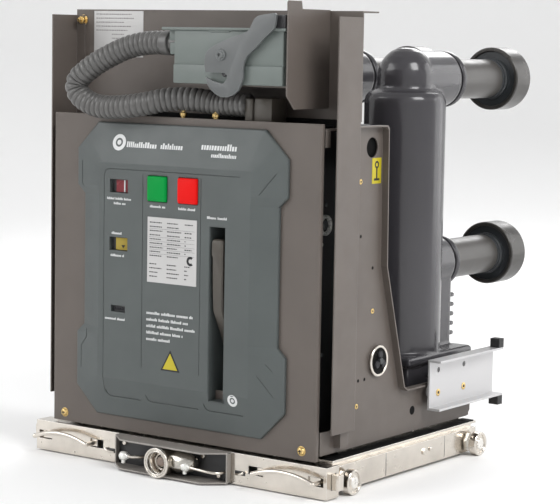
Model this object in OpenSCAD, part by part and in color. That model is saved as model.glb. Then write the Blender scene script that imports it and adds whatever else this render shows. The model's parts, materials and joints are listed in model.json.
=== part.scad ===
// Withdrawable medium-voltage vacuum circuit breaker on its roller truck.
// Depths are given from the front cover's outer face (0), positive to the rear.

/* [Front cover] */
// Width of the folded front cover
cover_w = 454; // [420:1:470]
// Height of the front cover
cover_h = 435; // [425:1:480]
// Height of the cover's lower edge above the floor
cover_z = 47; // [47:1:60]
// Sheet thickness of cover, side plates, posts and baffle
sheet = 2; // [1.5:0.1:3]
// Depth of the cover's side flanges
cover_flange = 9; // [6:1:9]

/* [Operating fascia] */
// Width of the moulded fascia over its flange
fascia_w = 358; // [340:1:400]
// Height of the moulded fascia over its flange
fascia_h = 405; // [360:1:420]
// Width of the fascia's flat face
fascia_face_w = 260; // [250:1:280]
// How far the flat face stands in front of the cover
fascia_depth = 17; // [14:1:22]
// Thickness of the flange around the fascia
fascia_rim = 5; // [3:1:6]
// Side length of the cut-off corners
fascia_corner = 37; // [25:1:50]
// Depth of the waist cut in each side
waist = 10; // [6:1:14]
// Edge length of the push buttons, across
button_w = 32; // [24:1:36]
// Edge length of the push buttons, upright
button_h = 34; // [24:1:40]
// Play around each push button
button_gap = 0.6; // [0.4:0.1:1]
// Push-button travel
button_travel = 5; // [3:0.5:8]
// Width of the slot for the charging lever
lever_slot_w = 27; // [22:1:34]
// Height of the slot for the charging lever
lever_slot_h = 233; // [200:1:240]
// Width of the charging lever
lever_w = 17; // [12:1:18]

/* [Frame] */
// Depth of the mechanism housing and of the upper part of the side plates
housing_d = 144; // [120:1:170]
// Outer face to outer face of the front posts
post_span = 488; // [480:1:500]
// Depth of the front posts
post_d = 52; // [40:1:60]
// Height of the posts above the floor
post_top = 618; // [560:1:680]
// Height of the baffle's top edge above the floor
baffle_top = 626; // [580:1:700]
// Width of the rear flange that the baffle has at its top
baffle_flange = 37; // [20:1:45]
// Total depth of the side plates at their foot
chassis_d = 390; // [380:1:420]
// Height of the low rear part of the side plates above the floor
sill_top = 116; // [105:1:130]
// Width of the outward rim of the side plates
rim = 10; // [6:1:12]

/* [Poles] */
// Distance from pole to pole
pole_pitch = 150; // [140:1:155]
// Depth of the pole axes
pole_y = 318; // [308:1:330]
// Diameter of the cast pole bodies
pole_d = 116; // [100:1:120]
// Height of the upper contact arms
upper_z = 535; // [500:1:600]
// Height of the lower contact arms
lower_z = 270; // [255:1:300]
// Diameter of the upper arm sleeves
upper_sleeve_d = 82; // [74:1:88]
// Diameter of the lower arm sleeves
lower_sleeve_d = 76; // [70:1:84]
// Diameter of the insulated arms
arm_d = 58; // [48:1:62]
// Depth of the sleeve ends
sleeve_y = 420; // [418:1:440]
// Depth of the rear ends of the tulip shrouds
shroud_y = 598; // [560:1:660]
// Diameter of the tulip shrouds
shroud_d = 94; // [84:1:100]
// Length of the tulip shrouds
shroud_len = 41; // [30:1:50]
// Diameter of the stud that a tulip contact grips
stud_d = 35; // [30:1:40]

/* [Truck] */
// Width of the truck over its crossbeam
truck_w = 502; // [490:1:520]
// Height of the crossbeam
beam_h = 42; // [38:1:44]
// Depth of the crossbeam
beam_d = 28; // [24:1:32]
// Ground clearance of the crossbeam
beam_z = 2; // [2:0.5:3]
// Wheel diameter
wheel_d = 34; // [30:1:36]
// Wheel width
wheel_w = 12; // [8:1:14]
// Depth of the front wheels
front_wheel_y = 48; // [44:1:60]
// Distance between front and rear wheels
wheel_base = 324; // [280:1:330]
// Axle diameter
axle_d = 12; // [10:1:14]
// Radial running clearance of wheels and shafts
running = 0.08; // [0.05:0.01:0.1]
// Travel of the racking crossbeam
racking_travel = 200; // [150:5:210]
// Travel of the crossbeam's lock bolts
lock_travel = 12; // [8:1:12]

/* [Guide rails] */
// Length of the guide rails
rail_len = 175; // [140:1:190]
// Height of the guide rails
rail_h = 70; // [60:1:80]
// Height of the guide rails' lower edge above the floor
rail_z = 81; // [80:1:90]
// Depth of the guide rails' front ends
rail_y = 253; // [240:1:260]
// Width of the guide rails' lips
rail_lip = 17; // [12:1:20]

/* [Control plug and hose] */
// Width of the plug housing
plug_w = 177; // [160:1:185]
// Height of the plug housing
plug_h = 69; // [60:1:75]
// Depth of the plug housing
plug_d = 50; // [44:1:52]
// Outside diameter of the corrugated hose
hose_d = 32; // [28:1:34]
// Thickness of the plug's lock lever
latch_t = 4; // [3:0.5:6]

/* [Hidden] */

$fn = 48;
eps = 0.01;

// The racking guide is foremost and the tulip shrouds are rearmost.
guide_front = -47;
y_shift = -(guide_front + shroud_y) / 2;

cover_top = cover_z + cover_h;
fascia_mid_z = cover_z + 20 + fascia_h / 2;
fascia_face_h = fascia_h - 91;
face_y = -fascia_depth;
button_x = 26;
button_z = fascia_mid_z + 117;
button_proud = 4;
plunger_d = 8;
plunger_len = 20;
flag_x = -94;
flag_w = 32;
flag_h = 18;
spring_flag_z = fascia_mid_z + 117;
position_flag_z = fascia_mid_z + 38;
counter_z = fascia_mid_z - 51;
counter_w = 25;
counter_h = 9;
flag_gap = 0.4;
lever_x = 77;
lever_slot_z = fascia_mid_z - 44;
lever_pivot_y = 26;
lever_pivot_z = lever_slot_z - lever_slot_h / 2 + 42;
lever_tip_z = lever_slot_z + lever_slot_h / 2 - 17;
lever_pin_d = 10;
plate_t = 1;

housing_w = cover_w - 2 * 22;
housing_y = sheet;
housing_z = cover_z + 9;
housing_top = cover_top - 4;
side_x = cover_w / 2;
sill_z = 53;
sill_front = cover_flange + 1;
post_x = post_span / 2;
post_y = 12;
post_z = sill_z + 29;
post_back = post_y + post_d;
side_front = post_y + 28;
side_top = cover_top - 4;
knee_z = 290;
foot_y = housing_d + 56;
baffle_z = cover_top + 2;

tray_z = sill_z;
tray_top = 100;
base_top = 150;
base_w = pole_d + 4;
base_plate = 15;
base_inset = 12;
base_front = pole_y - pole_d / 2 - 9;
base_back = pole_y + 105;
shoulder_z = upper_z - 17;
dome_d = 81;
dome_z = upper_z + 5;
shoulder_r = 8;
fin_w = 64;
fin_back = pole_y + 90;
fin_top = lower_z;
rib_n = 5;
rib_pitch = 14;
rib_z = base_top + 12;
rib_t = 6;
rib_d = 14;
groove = 3;
collar_len = 10;
arm_gap = 0.2;
shroud_front = shroud_y - shroud_len;
shroud_wall = 5;
finger_ring_d = stud_d + 22;
finger_len = 34;

deck_t = 3;
deck_top = 47;
deck_w = 480;
channel_w = 16;
channel_z = 5;
channel_top = 38;
truck_back = front_wheel_y + wheel_base + 14;
beam_y = -8;
arm_foot = 5;
wheel_out = truck_w / 2 + 7;
wheel_z = wheel_d / 2;
hub_gap = 0.5;
guide_z = 22;
guide_d = 41;
screw_d = 14;
bracket_w = 194;
bracket_front = -40;
handle_in = 144;
handle_out = 240;
handle_d = 6;
handle_z = 24;
handle_y = -24;
handle_rise = 9;
handle_slot = 12;
bar_d = 9;
bar_gap = 0.4;
slot_play = 2;
bolt_w = 10;
bolt_h = 20;
bolt_y = beam_y + 11;

web_x = side_x + 15;
web_t = 3;
buffer = 13;

plug_x = 8;
plug_z = cover_top + 47;
plug_y = -28;
plug_top = plug_z + plug_h;
rim_t = 4;
cheek_x = plug_x + plug_w + 6;
latch_x = 93;
latch_z = plug_z + 38;
latch_pin_d = 9;
latch_y = plug_y - latch_t - 5;
socket_x = 97;
gland_d = hose_d + 5;
hose_sides = 12;
// The hose's route from its socket to the left end of the plug, with heights above the cover's top edge.
HOSE_ROUTE = [
    [65, 20, 20], [46, 20, 20], [28, 16, 23], [10, 9, 25], [-8, 2, 25], [-26, -5, 23], [-43, -12, 19],
    [-70, -18, 14], [-104, -20, 11], [-129, -21, 12], [-148, -22, 18], [-162, -22, 27],
    [-167, -22, 38], [-163, -21, 49], [-152, -20, 58], [-136, -17, 69], [-112, -12, 82],
    [-88, -7, 92], [-67, -4, 97], [-46, -3, 99], [-24, -3, 99]
];
HOSE = [for (p = HOSE_ROUTE) [p[0], p[1], cover_top + p[2]]];
hose_y0 = HOSE[0][1];
hose_z0 = HOSE[0][2];
hose_end = HOSE[len(HOSE) - 1];

TAUPE = [0.42, 0.38, 0.35];
DARK = [0.16, 0.16, 0.17];
FASCIA = [0.33, 0.37, 0.37];
EPOXY = [0.27, 0.28, 0.33];
ARM = [0.40, 0.39, 0.40];
ZINC = [0.78, 0.77, 0.74];
ALU = [0.85, 0.85, 0.86];
BRASS = [0.75, 0.6, 0.3];
PLUG = [0.62, 0.66, 0.69];

// Puts children at their depth, with the whole breaker centred on the origin.
module place() { translate([0, y_shift, 0]) children(); }

// A box from its low corner to its high corner.
module span(low, high) {
    translate(low)
        cube([high[0] - low[0], high[1] - low[1], high[2] - low[2]]);
}

// A cylinder along Y from depth y0 to depth y1.
module rod_y(x, z, d, y0, y1) {
    translate([x, y0, z])
        rotate([-90, 0, 0])
            cylinder(h = y1 - y0, d = d);
}

// A cylinder along X from x0 to x1.
module rod_x(y, z, d, x0, x1) {
    translate([x0, y, z])
        rotate([0, 90, 0])
            cylinder(h = x1 - x0, d = d);
}

// A rectangle with round corners, centred.
module round_rect(w, h, r) {
    square([w - 2 * r, h], center = true);
    square([w, h - 2 * r], center = true);
    for (sx = [-1, 1], sy = [-1, 1])
        translate([sx * (w / 2 - r), sy * (h / 2 - r)])
            circle(r = r);
}

// An upright outline in X and Z, standing from depth y0 to depth y1.
module stand(y0, y1) {
    translate([0, y1, 0])
        rotate([90, 0, 0])
            linear_extrude(height = y1 - y0)
                children();
}

// An upright outline in Y and Z, standing from x0 to x1.
module side(x0, x1) {
    translate([x0, 0, 0])
        rotate([90, 0, 90])
            linear_extrude(height = x1 - x0)
                children();
}

// Children and their mirror image across the middle plane.
module both_sides() {
    children();
    mirror([1, 0, 0]) children();
}

module front_cover() {
    color(TAUPE) place() difference() {
        translate([0, cover_flange / 2, cover_z])
            linear_extrude(height = cover_h)
                round_rect(cover_w, cover_flange, 3);
        span([-cover_w / 2 + sheet, sheet, cover_z + sheet],
             [cover_w / 2 - sheet, cover_flange + 1, cover_top - sheet]);
        stand(-1, sheet + 1)
            translate([0, fascia_mid_z])
                square([fascia_face_w - 20, fascia_face_h - 20], center = true);
        for (sx = [-1, 1])
            rod_y(sx * (cover_w / 2 - 22), cover_z + 12, 6, -1, sheet + 1);
    }
}

// A rectangle with all four corners cut off.
function cut_corners(w, h, c) = [
    for (s = [[1, 1, 0], [1, 1, 1], [-1, 1, 1], [-1, 1, 0], [-1, -1, 0], [-1, -1, 1], [1, -1, 1], [1, -1, 0]])
        [s[0] * (w / 2 - (s[2] == 1 ? c : 0)), s[1] * (h / 2 - (s[2] == 0 ? c : 0))]
];

module fascia_block() {
    stand(-fascia_rim, 0)
        polygon(cut_corners(fascia_w, fascia_h, fascia_corner));
    hull() {
        stand(-fascia_rim - eps, -fascia_rim)
            polygon(cut_corners(fascia_w - 6, fascia_h - 6, fascia_corner));
        stand(face_y, face_y + eps)
            polygon(cut_corners(fascia_face_w, fascia_face_h, 12));
    }
}

module waist_cut() {
    x = fascia_w / 2;
    stand(face_y - 1, 1)
        polygon([[x - waist, -80], [x + 1, -80 - waist - 1], [x + 1, 105 + waist + 1], [x - waist, 105]]);
}

module button_hole(x) {
    stand(face_y - 1, 1)
        translate([x, button_z - fascia_mid_z])
            square([button_w + 2 * button_gap, button_h + 2 * button_gap], center = true);
}

module front_fascia() {
    color(FASCIA) place() translate([0, 0, fascia_mid_z]) difference() {
        fascia_block();
        both_sides() waist_cut();
        button_hole(-button_x);
        button_hole(button_x);
        for (w = [[spring_flag_z, flag_w, flag_h], [position_flag_z, flag_w, flag_h],
                  [counter_z, counter_w, counter_h]])
            stand(face_y - 1, 1)
                translate([flag_x, w[0] - fascia_mid_z])
                    square([w[1], w[2]], center = true);
        stand(face_y - 1, 1)
            translate([lever_x, lever_slot_z - fascia_mid_z])
                square([lever_slot_w, lever_slot_h], center = true);
    }
}

// An indicator body that fills its window up to a recess behind the fascia's face.
module flag(z, w, h, recess) {
    place() stand(face_y + recess, housing_y)
        translate([flag_x, z])
            square([w - 2 * flag_gap, h - 2 * flag_gap], center = true);
}

module spring_flag() { color("firebrick") flag(spring_flag_z, flag_w, flag_h, 7); }
module position_flag() { color("gold") flag(position_flag_z, flag_w, flag_h, 7); }
module operation_counter() { color(DARK) flag(counter_z, counter_w, counter_h, 4); }

module rating_plate() {
    color("white") place()
        stand(face_y - plate_t, face_y)
            translate([0, fascia_mid_z + 35])
                square([84, 88], center = true);
}

module push_button(x) {
    place() {
        stand(face_y - button_proud, face_y - button_proud + 16)
            translate([x, button_z])
                round_rect(button_w, button_h, 2);
        rod_y(x, button_z, plunger_d, face_y, housing_y + plunger_len);
    }
}

module close_button() { color("green") push_button(-button_x); }
module open_button() { color("red") push_button(button_x); }

// The lever leans back from its tip at the fascia's face to its hub deep in the slot.
module charging_lever() {
    lean = lever_pivot_y - face_y;
    color(DARK) place() difference() {
        union() {
            side(lever_x - lever_w / 2, lever_x + lever_w / 2)
                polygon([[face_y - 1, lever_tip_z], [face_y + 9, lever_tip_z],
                         [face_y + 14, lever_tip_z - 60], [lever_pivot_y + 6, lever_pivot_z],
                         [lever_pivot_y - 6, lever_pivot_z], [face_y + 2, lever_tip_z - 90]]);
            rod_x(lever_pivot_y, lever_pivot_z, 22, lever_x - lever_w / 2, lever_x + lever_w / 2);
        }
        rod_x(lever_pivot_y, lever_pivot_z, lever_pin_d + 2 * running,
              lever_x - lever_w, lever_x + lever_w);
    }
}

module mechanism_housing() {
    slot_low = lever_slot_z - lever_slot_h / 2;
    slot_high = lever_slot_z + lever_slot_h / 2;
    color(DARK) place() {
        difference() {
            span([-housing_w / 2, housing_y, housing_z], [housing_w / 2, housing_d, housing_top]);
            span([lever_x - lever_slot_w / 2, housing_y - 1, slot_low],
                 [lever_x + lever_slot_w / 2, housing_y + 50, slot_high]);
            for (sx = [-1, 1]) {
                span([sx * button_x - button_w / 2 - 1, housing_y - 1, button_z - button_h / 2 - 1],
                     [sx * button_x + button_w / 2 + 1, housing_y + 8, button_z + button_h / 2 + 1]);
                rod_y(sx * button_x, button_z, plunger_d + 2 * running, 0,
                      housing_y + plunger_len + button_travel + 3);
            }
        }
        rod_x(lever_pivot_y, lever_pivot_z, lever_pin_d,
              lever_x - lever_slot_w / 2 - 1, lever_x + lever_slot_w / 2 + 1);
    }
}

// Outline of a side plate in depth and height.
function side_outline(g) = [
    [sill_front, sill_z], [chassis_d - 8, sill_z], [chassis_d - g, sill_z + 8], [chassis_d - g, sill_top - g],
    [foot_y + 6 - g / 2, sill_top - g], [foot_y - 3 - g, sill_top + 5 - g / 2],
    [housing_d + 3 - g, knee_z], [housing_d - g, side_top - 4 - g], [housing_d - 4 - g, side_top - g],
    [side_front, side_top - g], [side_front, post_z + 2], [sill_front, post_z + 2]
];

module side_plate() {
    rim_part = [[post_back, sill_top + 40], [post_back, side_top + 1], [housing_d + 1, side_top + 1],
                [rail_y - 3, side_top], [rail_y - 3, sill_z + 20], [foot_y - 60, sill_z + 20]];
    difference() {
        side(side_x - sheet, side_x)
            polygon(side_outline(0));
        rod_x(118, 449, 27, side_x - 5, side_x + 5);
        rod_x(232, 82, 8, side_x - 5, side_x + 5);
    }
    side(side_x - eps, side_x + rim)
        intersection() {
            difference() {
                polygon(side_outline(0));
                polygon(side_outline(sheet));
            }
            polygon(rim_part);
        }
    difference() {
        union() {
            rod_x(140, 163, 42, side_x - eps, side_x + 3);
            rod_x(140, 163, 30, side_x - eps, side_x + 4);
        }
        rod_x(140, 163, 12, side_x - 3, side_x + 5);
    }
}

module right_side_plate() { color(TAUPE) place() side_plate(); }
module left_side_plate() { color(TAUPE) place() mirror([1, 0, 0]) side_plate(); }

module post() {
    span([post_x - sheet, post_y, post_z], [post_x, post_back, post_top]);
    span([side_x, post_back - sheet, post_z], [post_x - sheet + eps, post_back, post_top]);
    span([side_x, post_y + 30, post_z - 22], [post_x - sheet - 5, post_y + 30 + 18, post_z]);
}

module right_post() { color(TAUPE) place() post(); }
module left_post() { color(TAUPE) place() mirror([1, 0, 0]) post(); }

module baffle_sheet() {
    color(TAUPE) place() {
        span([-post_x, post_back, baffle_z], [post_x, post_back + sheet, baffle_top]);
        span([-post_x, post_back, baffle_top - sheet],
             [post_x, post_back + baffle_flange, baffle_top]);
        both_sides()
            span([side_x - 20, post_back, housing_top - 30], [side_x - sheet, post_back + sheet, baffle_z]);
    }
}

// The parked plug lies on a shelf between the baffle and a cheek plate.
module plug_bracket() {
    color(TAUPE) place() {
        side(cheek_x, cheek_x + sheet)
            polygon([[plug_y - 1, plug_z - 2], [plug_y - 1, baffle_top + 9], [plug_y + 1, baffle_top + 11],
                     [plug_y + 28, baffle_top + 11], [plug_y + 30, baffle_top + 1], [post_back, baffle_top + 1],
                     [post_back, plug_z - 29], [plug_y + 16, plug_z - 29], [plug_y - 1, plug_z - 12]]);
        span([plug_x + 6, plug_y + 6, plug_z - sheet], [cheek_x + eps, post_back, plug_z]);
    }
}

module plug_housing() {
    mid_y = plug_y + plug_d / 2 + 2;
    color(PLUG) place() {
        span([plug_x, plug_y, plug_z], [plug_x + plug_w, plug_y + plug_d, plug_top]);
        span([plug_x - 20, plug_y - 2, plug_top], [plug_x + plug_w + 4, plug_y + plug_d + 2, plug_top + rim_t]);
        rod_x(hose_end[1], hose_end[2], gland_d, hose_end[0], plug_x + eps);
        rod_y(latch_x, latch_z, latch_pin_d, latch_y - 3, plug_y + eps);
        rod_y(latch_x, latch_z, 14, latch_y - 6, latch_y - 2.5);
        span([plug_x + plug_w - 13, plug_y, plug_top + rim_t - eps],
             [plug_x + plug_w + 3, plug_y + 24, plug_top + rim_t + 17]);
    }
}

// Lock lever of the plug: a round lobe below its pin and an arm that rises to a thumb tab.
module plug_latch() {
    color([0.55, 0.58, 0.6]) place() difference() {
        union() {
            stand(latch_y, latch_y + latch_t) {
                translate([latch_x + 1, latch_z - 32])
                    circle(r = 22);
                polygon([[latch_x - 21, latch_z - 32], [latch_x - 25, latch_z - 10], [latch_x - 27, latch_z + 8],
                         [latch_x + 36, latch_z + 32], [latch_x + 46, latch_z + 40], [latch_x + 58, latch_z + 52],
                         [latch_x + 81, latch_z + 53], [latch_x + 81, latch_z + 32],
                         [latch_x + 38, latch_z - 6], [latch_x + 23, latch_z - 30]]);
            }
            rod_y(latch_x, latch_z, 16, latch_y - 2, latch_y + eps);
        }
        rod_y(latch_x, latch_z, latch_pin_d + 2 * running, latch_y - 5, latch_y + latch_t + 1);
        stand(latch_y - 1, latch_y + latch_t + 1) {
            translate([latch_x + 1, latch_z - 30])
                circle(r = 4);
            polygon([[latch_x - 24, latch_z - 26], [latch_x - 24, latch_z - 18],
                     [latch_x + 1, latch_z - 26], [latch_x + 1, latch_z - 34]]);
        }
    }
}

module hose_socket() {
    color(DARK) place() {
        span([socket_x, cover_flange + 1, housing_top], [socket_x + 44, hose_y0 + 24, hose_z0 + 10]);
        rod_x(hose_y0, hose_z0, gland_d, HOSE[0][0], socket_x + eps);
    }
}

function unit(v) = v / norm(v);
function along(p, i) = unit(p[min(i + 1, len(p) - 1)] - p[max(i - 1, 0)]);

// Ring of points around point i of a route, square to the route there.
function ring(p, i, r, n) =
    let (t = along(p, i), a = unit(cross(t, [0, 1, 0])), b = cross(t, a))
    [for (k = [0:n - 1]) p[i] + r * (cos(360 * k / n) * a + sin(360 * k / n) * b)];

// One closed tube of n sides along route p.
module tube(p, r, n) {
    last = len(p) - 1;
    points = [for (i = [0:last]) each ring(p, i, r, n)];
    walls = [
        for (i = [0:last - 1], k = [0:n - 1])
            let (m = (k + 1) % n) [i * n + k, i * n + m, (i + 1) * n + m, (i + 1) * n + k]
    ];
    ends = [[for (k = [n - 1:-1:0]) k], [for (k = [0:n - 1]) last * n + k]];
    polyhedron(points = points, faces = concat(walls, ends));
}

module control_hose() {
    color("gray") place() tube(HOSE, hose_d / 2, hose_sides);
}

module pole_tray() {
    inner = side_x - sheet;
    color(TAUPE) place()
        span([-inner, housing_d, tray_z], [inner, chassis_d, tray_top]);
}

module arm_sleeve(z, d, y0) {
    rod_y(0, z, d, y0, sleeve_y - collar_len - groove);
    rod_y(0, z, d - 8, y0, sleeve_y);
    rod_y(0, z, d, sleeve_y - collar_len, sleeve_y);
}

// Half section of a pole: a tall body with a round shoulder and a domed head on it.
module pole_profile() {
    translate([0, base_top])
        square([pole_d / 2, shoulder_z - shoulder_r - base_top]);
    translate([0, base_top])
        square([pole_d / 2 - shoulder_r, shoulder_z - base_top]);
    translate([pole_d / 2 - shoulder_r, shoulder_z - shoulder_r])
        circle(r = shoulder_r);
    translate([0, shoulder_z - 1])
        square([dome_d / 2, dome_z - shoulder_z + 1]);
    translate([0, dome_z])
        intersection() {
            circle(d = dome_d);
            translate([0, -dome_d / 2])
                square([dome_d / 2, dome_d]);
        }
}

module pole() {
    difference() {
        union() {
            translate([0, (base_front + base_back) / 2, tray_top])
                linear_extrude(height = base_top - base_plate / 2 - tray_top)
                    round_rect(base_w - base_inset, base_back - base_front - base_inset, 6);
            translate([0, (base_front + base_back) / 2, base_top - base_plate])
                linear_extrude(height = base_plate)
                    round_rect(base_w, base_back - base_front, 9);
            translate([0, pole_y, 0])
                rotate_extrude()
                    pole_profile();
            arm_sleeve(upper_z, upper_sleeve_d, pole_y);
            arm_sleeve(lower_z, lower_sleeve_d, pole_y);
            span([-fin_w / 2, pole_y, base_top - eps], [fin_w / 2, fin_back, fin_top]);
            for (i = [0:rib_n - 1])
                span([-fin_w / 2 + 4, fin_back - 4, rib_z + i * rib_pitch],
                     [fin_w / 2 - 4, fin_back + rib_d, rib_z + i * rib_pitch + rib_t]);
        }
        rod_y(0, upper_z, arm_d + 2 * arm_gap, pole_y + 30, sleeve_y + 1);
        rod_y(0, lower_z, arm_d + 2 * arm_gap, pole_y + 30, sleeve_y + 1);
    }
}

module left_pole() { color(EPOXY) place() translate([-pole_pitch, 0, 0]) pole(); }
module middle_pole() { color(EPOXY) place() pole(); }
module right_pole() { color(EPOXY) place() translate([pole_pitch, 0, 0]) pole(); }

// One child for each of the three poles.
module each_pole() {
    for (i = [-1:1])
        translate([i * pole_pitch, 0, 0])
            children();
}

module upper_arms() {
    color(ARM) place() each_pole()
        rod_y(0, upper_z, arm_d, pole_y + 30, shroud_front + shroud_wall);
}

module lower_arms() {
    color(ARM) place() each_pole()
        rod_y(0, lower_z, arm_d, pole_y + 30, shroud_front + shroud_wall);
}

// Round hood around the contact fingers, open to the rear.
module shroud(z) {
    difference() {
        rod_y(0, z, shroud_d, shroud_front, shroud_y);
        rod_y(0, z, shroud_d - 2 * shroud_wall, shroud_front + shroud_wall, shroud_y + 1);
        rod_y(0, z, arm_d, shroud_front - 1, shroud_y + 1);
    }
}

module tulip_shrouds() {
    color(ARM) place() each_pole() {
        shroud(upper_z);
        shroud(lower_z);
    }
}

// Ring of contact fingers that closes on a round stud.
module fingers(z) {
    difference() {
        rod_y(0, z, finger_ring_d, shroud_front + shroud_wall, shroud_front + shroud_wall + finger_len);
        rod_y(0, z, stud_d, shroud_front + shroud_wall + 4, shroud_y);
    }
}

module tulip_contacts() {
    color(ZINC) place() each_pole() {
        fingers(upper_z);
        fingers(lower_z);
    }
}

module guide_rail() {
    difference() {
        union() {
            span([web_x - web_t, rail_y, rail_z], [web_x, rail_y + rail_len, rail_z + rail_h]);
            span([web_x - web_t, rail_y, rail_z + rail_h - web_t],
                 [web_x + rail_lip, rail_y + rail_len, rail_z + rail_h]);
            span([web_x - web_t, rail_y, rail_z], [web_x + rail_lip, rail_y + rail_len, rail_z + web_t]);
        }
        for (dy = [23, 92])
            rod_x(rail_y + dy, rail_z + 54, 8, web_x - web_t - 1, web_x + 1);
    }
    for (dy = [23, 92])
        rod_x(rail_y + dy, rail_z + 22, 16, side_x, web_x - web_t + eps);
}

module right_guide_rail() { color(ALU) place() guide_rail(); }
module left_guide_rail() { color(ALU) place() mirror([1, 0, 0]) guide_rail(); }

// One buffer stands on each rail's upper lip and one hangs from its lower lip.
module rail_buffers() {
    color(DARK) place() both_sides()
        for (z = [rail_z - buffer, rail_z + rail_h])
            span([web_x + 2, rail_y + rail_len - buffer, z],
                 [web_x + rail_lip, rail_y + rail_len, z + buffer]);
}

module truck_frame() {
    y0 = beam_y + beam_d + 1;
    color(ZINC) place() difference() {
        union() {
            span([-deck_w / 2, y0, deck_top - deck_t], [deck_w / 2, truck_back, deck_top]);
            both_sides() {
                span([deck_w / 2 - channel_w, y0, channel_z], [deck_w / 2, truck_back, channel_top]);
                span([deck_w / 2 - channel_w, y0, channel_top - eps],
                     [deck_w / 2 - 8, truck_back, deck_top - deck_t + eps]);
            }
            span([-deck_w / 2 + channel_w - eps, truck_back - 16, channel_z],
                 [deck_w / 2 - channel_w + eps, truck_back, channel_top]);
            span([-30, y0 + 50, guide_z - 12], [30, y0 + 64, deck_top - deck_t + eps]);
            both_sides()
                span([0, 60, deck_top - eps], [side_x - 6, chassis_d - 20, sill_z]);
        }
        both_sides()
            span([deck_w / 2 - channel_w + 3, y0 - 1, channel_z + 7],
                 [deck_w / 2 - 5, truck_back - 20, channel_top - 5]);
        rod_y(0, guide_z, screw_d + 2, y0, y0 + 80);
    }
}

module truck_axles() {
    color(ZINC) place() both_sides()
        for (y = [front_wheel_y, front_wheel_y + wheel_base])
            rod_x(y, wheel_z, axle_d, deck_w / 2, wheel_out - 2);
}

module wheel(y) {
    place() difference() {
        rod_x(y, wheel_z, wheel_d, wheel_out - wheel_w, wheel_out);
        rod_x(y, wheel_z, axle_d + 2 * running, wheel_out - wheel_w - 1, wheel_out + 1);
    }
}

module front_right_wheel() { color(ZINC) wheel(front_wheel_y); }
module front_left_wheel() { color(ZINC) mirror([1, 0, 0]) wheel(front_wheel_y); }
module rear_right_wheel() { color(ZINC) wheel(front_wheel_y + wheel_base); }
module rear_left_wheel() { color(ZINC) mirror([1, 0, 0]) wheel(front_wheel_y + wheel_base); }

// Channel across the front, open to the rear, with an arm that slides in each truck rail.
module truck_crossbeam() {
    x = truck_w / 2;
    back = beam_y + beam_d;
    color(ZINC) place() {
        difference() {
            span([-x, beam_y, beam_z], [x, back, beam_z + beam_h]);
            span([-x + sheet, beam_y + sheet, beam_z + sheet], [x - sheet, back + 1, beam_z + beam_h - sheet]);
            both_sides() {
                for (x = [handle_in, handle_out])
                    span([x - lock_travel - handle_d, beam_y - 1, handle_z - handle_slot / 2],
                         [x + handle_d, beam_y + sheet + 1, handle_z + handle_slot / 2]);
                span([x - sheet - 1, bolt_y - slot_play / 2, handle_z - bolt_h / 2 - slot_play / 2],
                     [x + 1, bolt_y + bolt_w + slot_play / 2, handle_z + bolt_h / 2 + slot_play / 2]);
            }
            rod_y(0, guide_z, guide_d - 8, beam_y - 1, beam_y + sheet + 1);
        }
        both_sides() {
            span([deck_w / 2 - channel_w + 4, back - eps, channel_z + 8],
                 [deck_w / 2 - 6, back + racking_travel + 60, channel_top - 6]);
            span([deck_w / 2 - channel_w + 4, back - arm_foot, channel_z + 8],
                 [deck_w / 2 - 6, back, channel_top - 6]);
            span([deck_w / 2 - channel_w + 4, back - arm_foot, beam_z + sheet - eps],
                 [deck_w / 2 - 6, back - 1, beam_z + beam_h - sheet + eps]);
        }
    }
}

module racking_bracket() {
    half = bracket_w / 2;
    wing = [[-half, beam_y], [-half, beam_y - 8], [-half + 28, bracket_front], [half - 28, bracket_front],
            [half, beam_y - 8], [half, beam_y]];
    color(DARK) place() difference() {
        union() {
            for (z = [beam_z, beam_z + beam_h - sheet])
                translate([0, 0, z])
                    linear_extrude(height = sheet)
                        polygon(wing);
            span([-half, beam_y - sheet, beam_z], [half, beam_y, beam_z + beam_h]);
            both_sides()
                span([half - sheet, beam_y - 9, beam_z], [half, beam_y, beam_z + beam_h]);
            span([24, beam_y - 24, guide_z - 12], [48, beam_y, guide_z + 18]);
        }
        rod_y(0, guide_z, guide_d - 8, beam_y - 4, beam_y + 1);
    }
}

module racking_guide() {
    color(ZINC) place() difference() {
        union() {
            rod_y(0, guide_z, guide_d, guide_front, guide_front + 5);
            rod_y(0, guide_z, guide_d - 6, guide_front, beam_y - sheet);
        }
        rod_y(0, guide_z, guide_d - 12, guide_front - 1, beam_y);
    }
}

module racking_screw() {
    tail = beam_y + beam_d + racking_travel + 70;
    color(ZINC) place() {
        rod_y(0, guide_z, screw_d, guide_front + 12, tail);
        rod_y(0, guide_z, guide_d - 14, beam_y - 12, beam_y - 6);
    }
}

// Bow handle, the bar behind it and the lock bolt at the beam's end, in one piece.
module lock_handle() {
    inside = beam_y + sheet + bar_gap;
    half = (handle_out - handle_in) / 2;
    bow_r = (half * half + handle_rise * handle_rise) / (2 * handle_rise);
    spread = asin(half / bow_r);
    translate([handle_in + half, handle_y, handle_z + handle_rise - bow_r])
        rotate([90, 0, 0])
            rotate([0, 0, 90 - spread])
                rotate_extrude(angle = 2 * spread)
                    translate([bow_r, 0])
                        circle(d = handle_d);
    for (x = [handle_in, handle_out]) {
        rod_y(x, handle_z, handle_d, handle_y, inside + 3);
        translate([x, handle_y, handle_z])
            sphere(d = handle_d + 1);
    }
    span([handle_in - 5, inside, handle_z - 5], [handle_out, inside + bar_d, handle_z + 5]);
    span([handle_out - 24, bolt_y, handle_z - bolt_h / 2],
         [truck_w / 2 + lock_travel, bolt_y + bolt_w, handle_z + bolt_h / 2]);
}

module right_lock_handle() { color(ZINC) place() lock_handle(); }
module left_lock_handle() { color(ZINC) place() mirror([1, 0, 0]) lock_handle(); }

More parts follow.
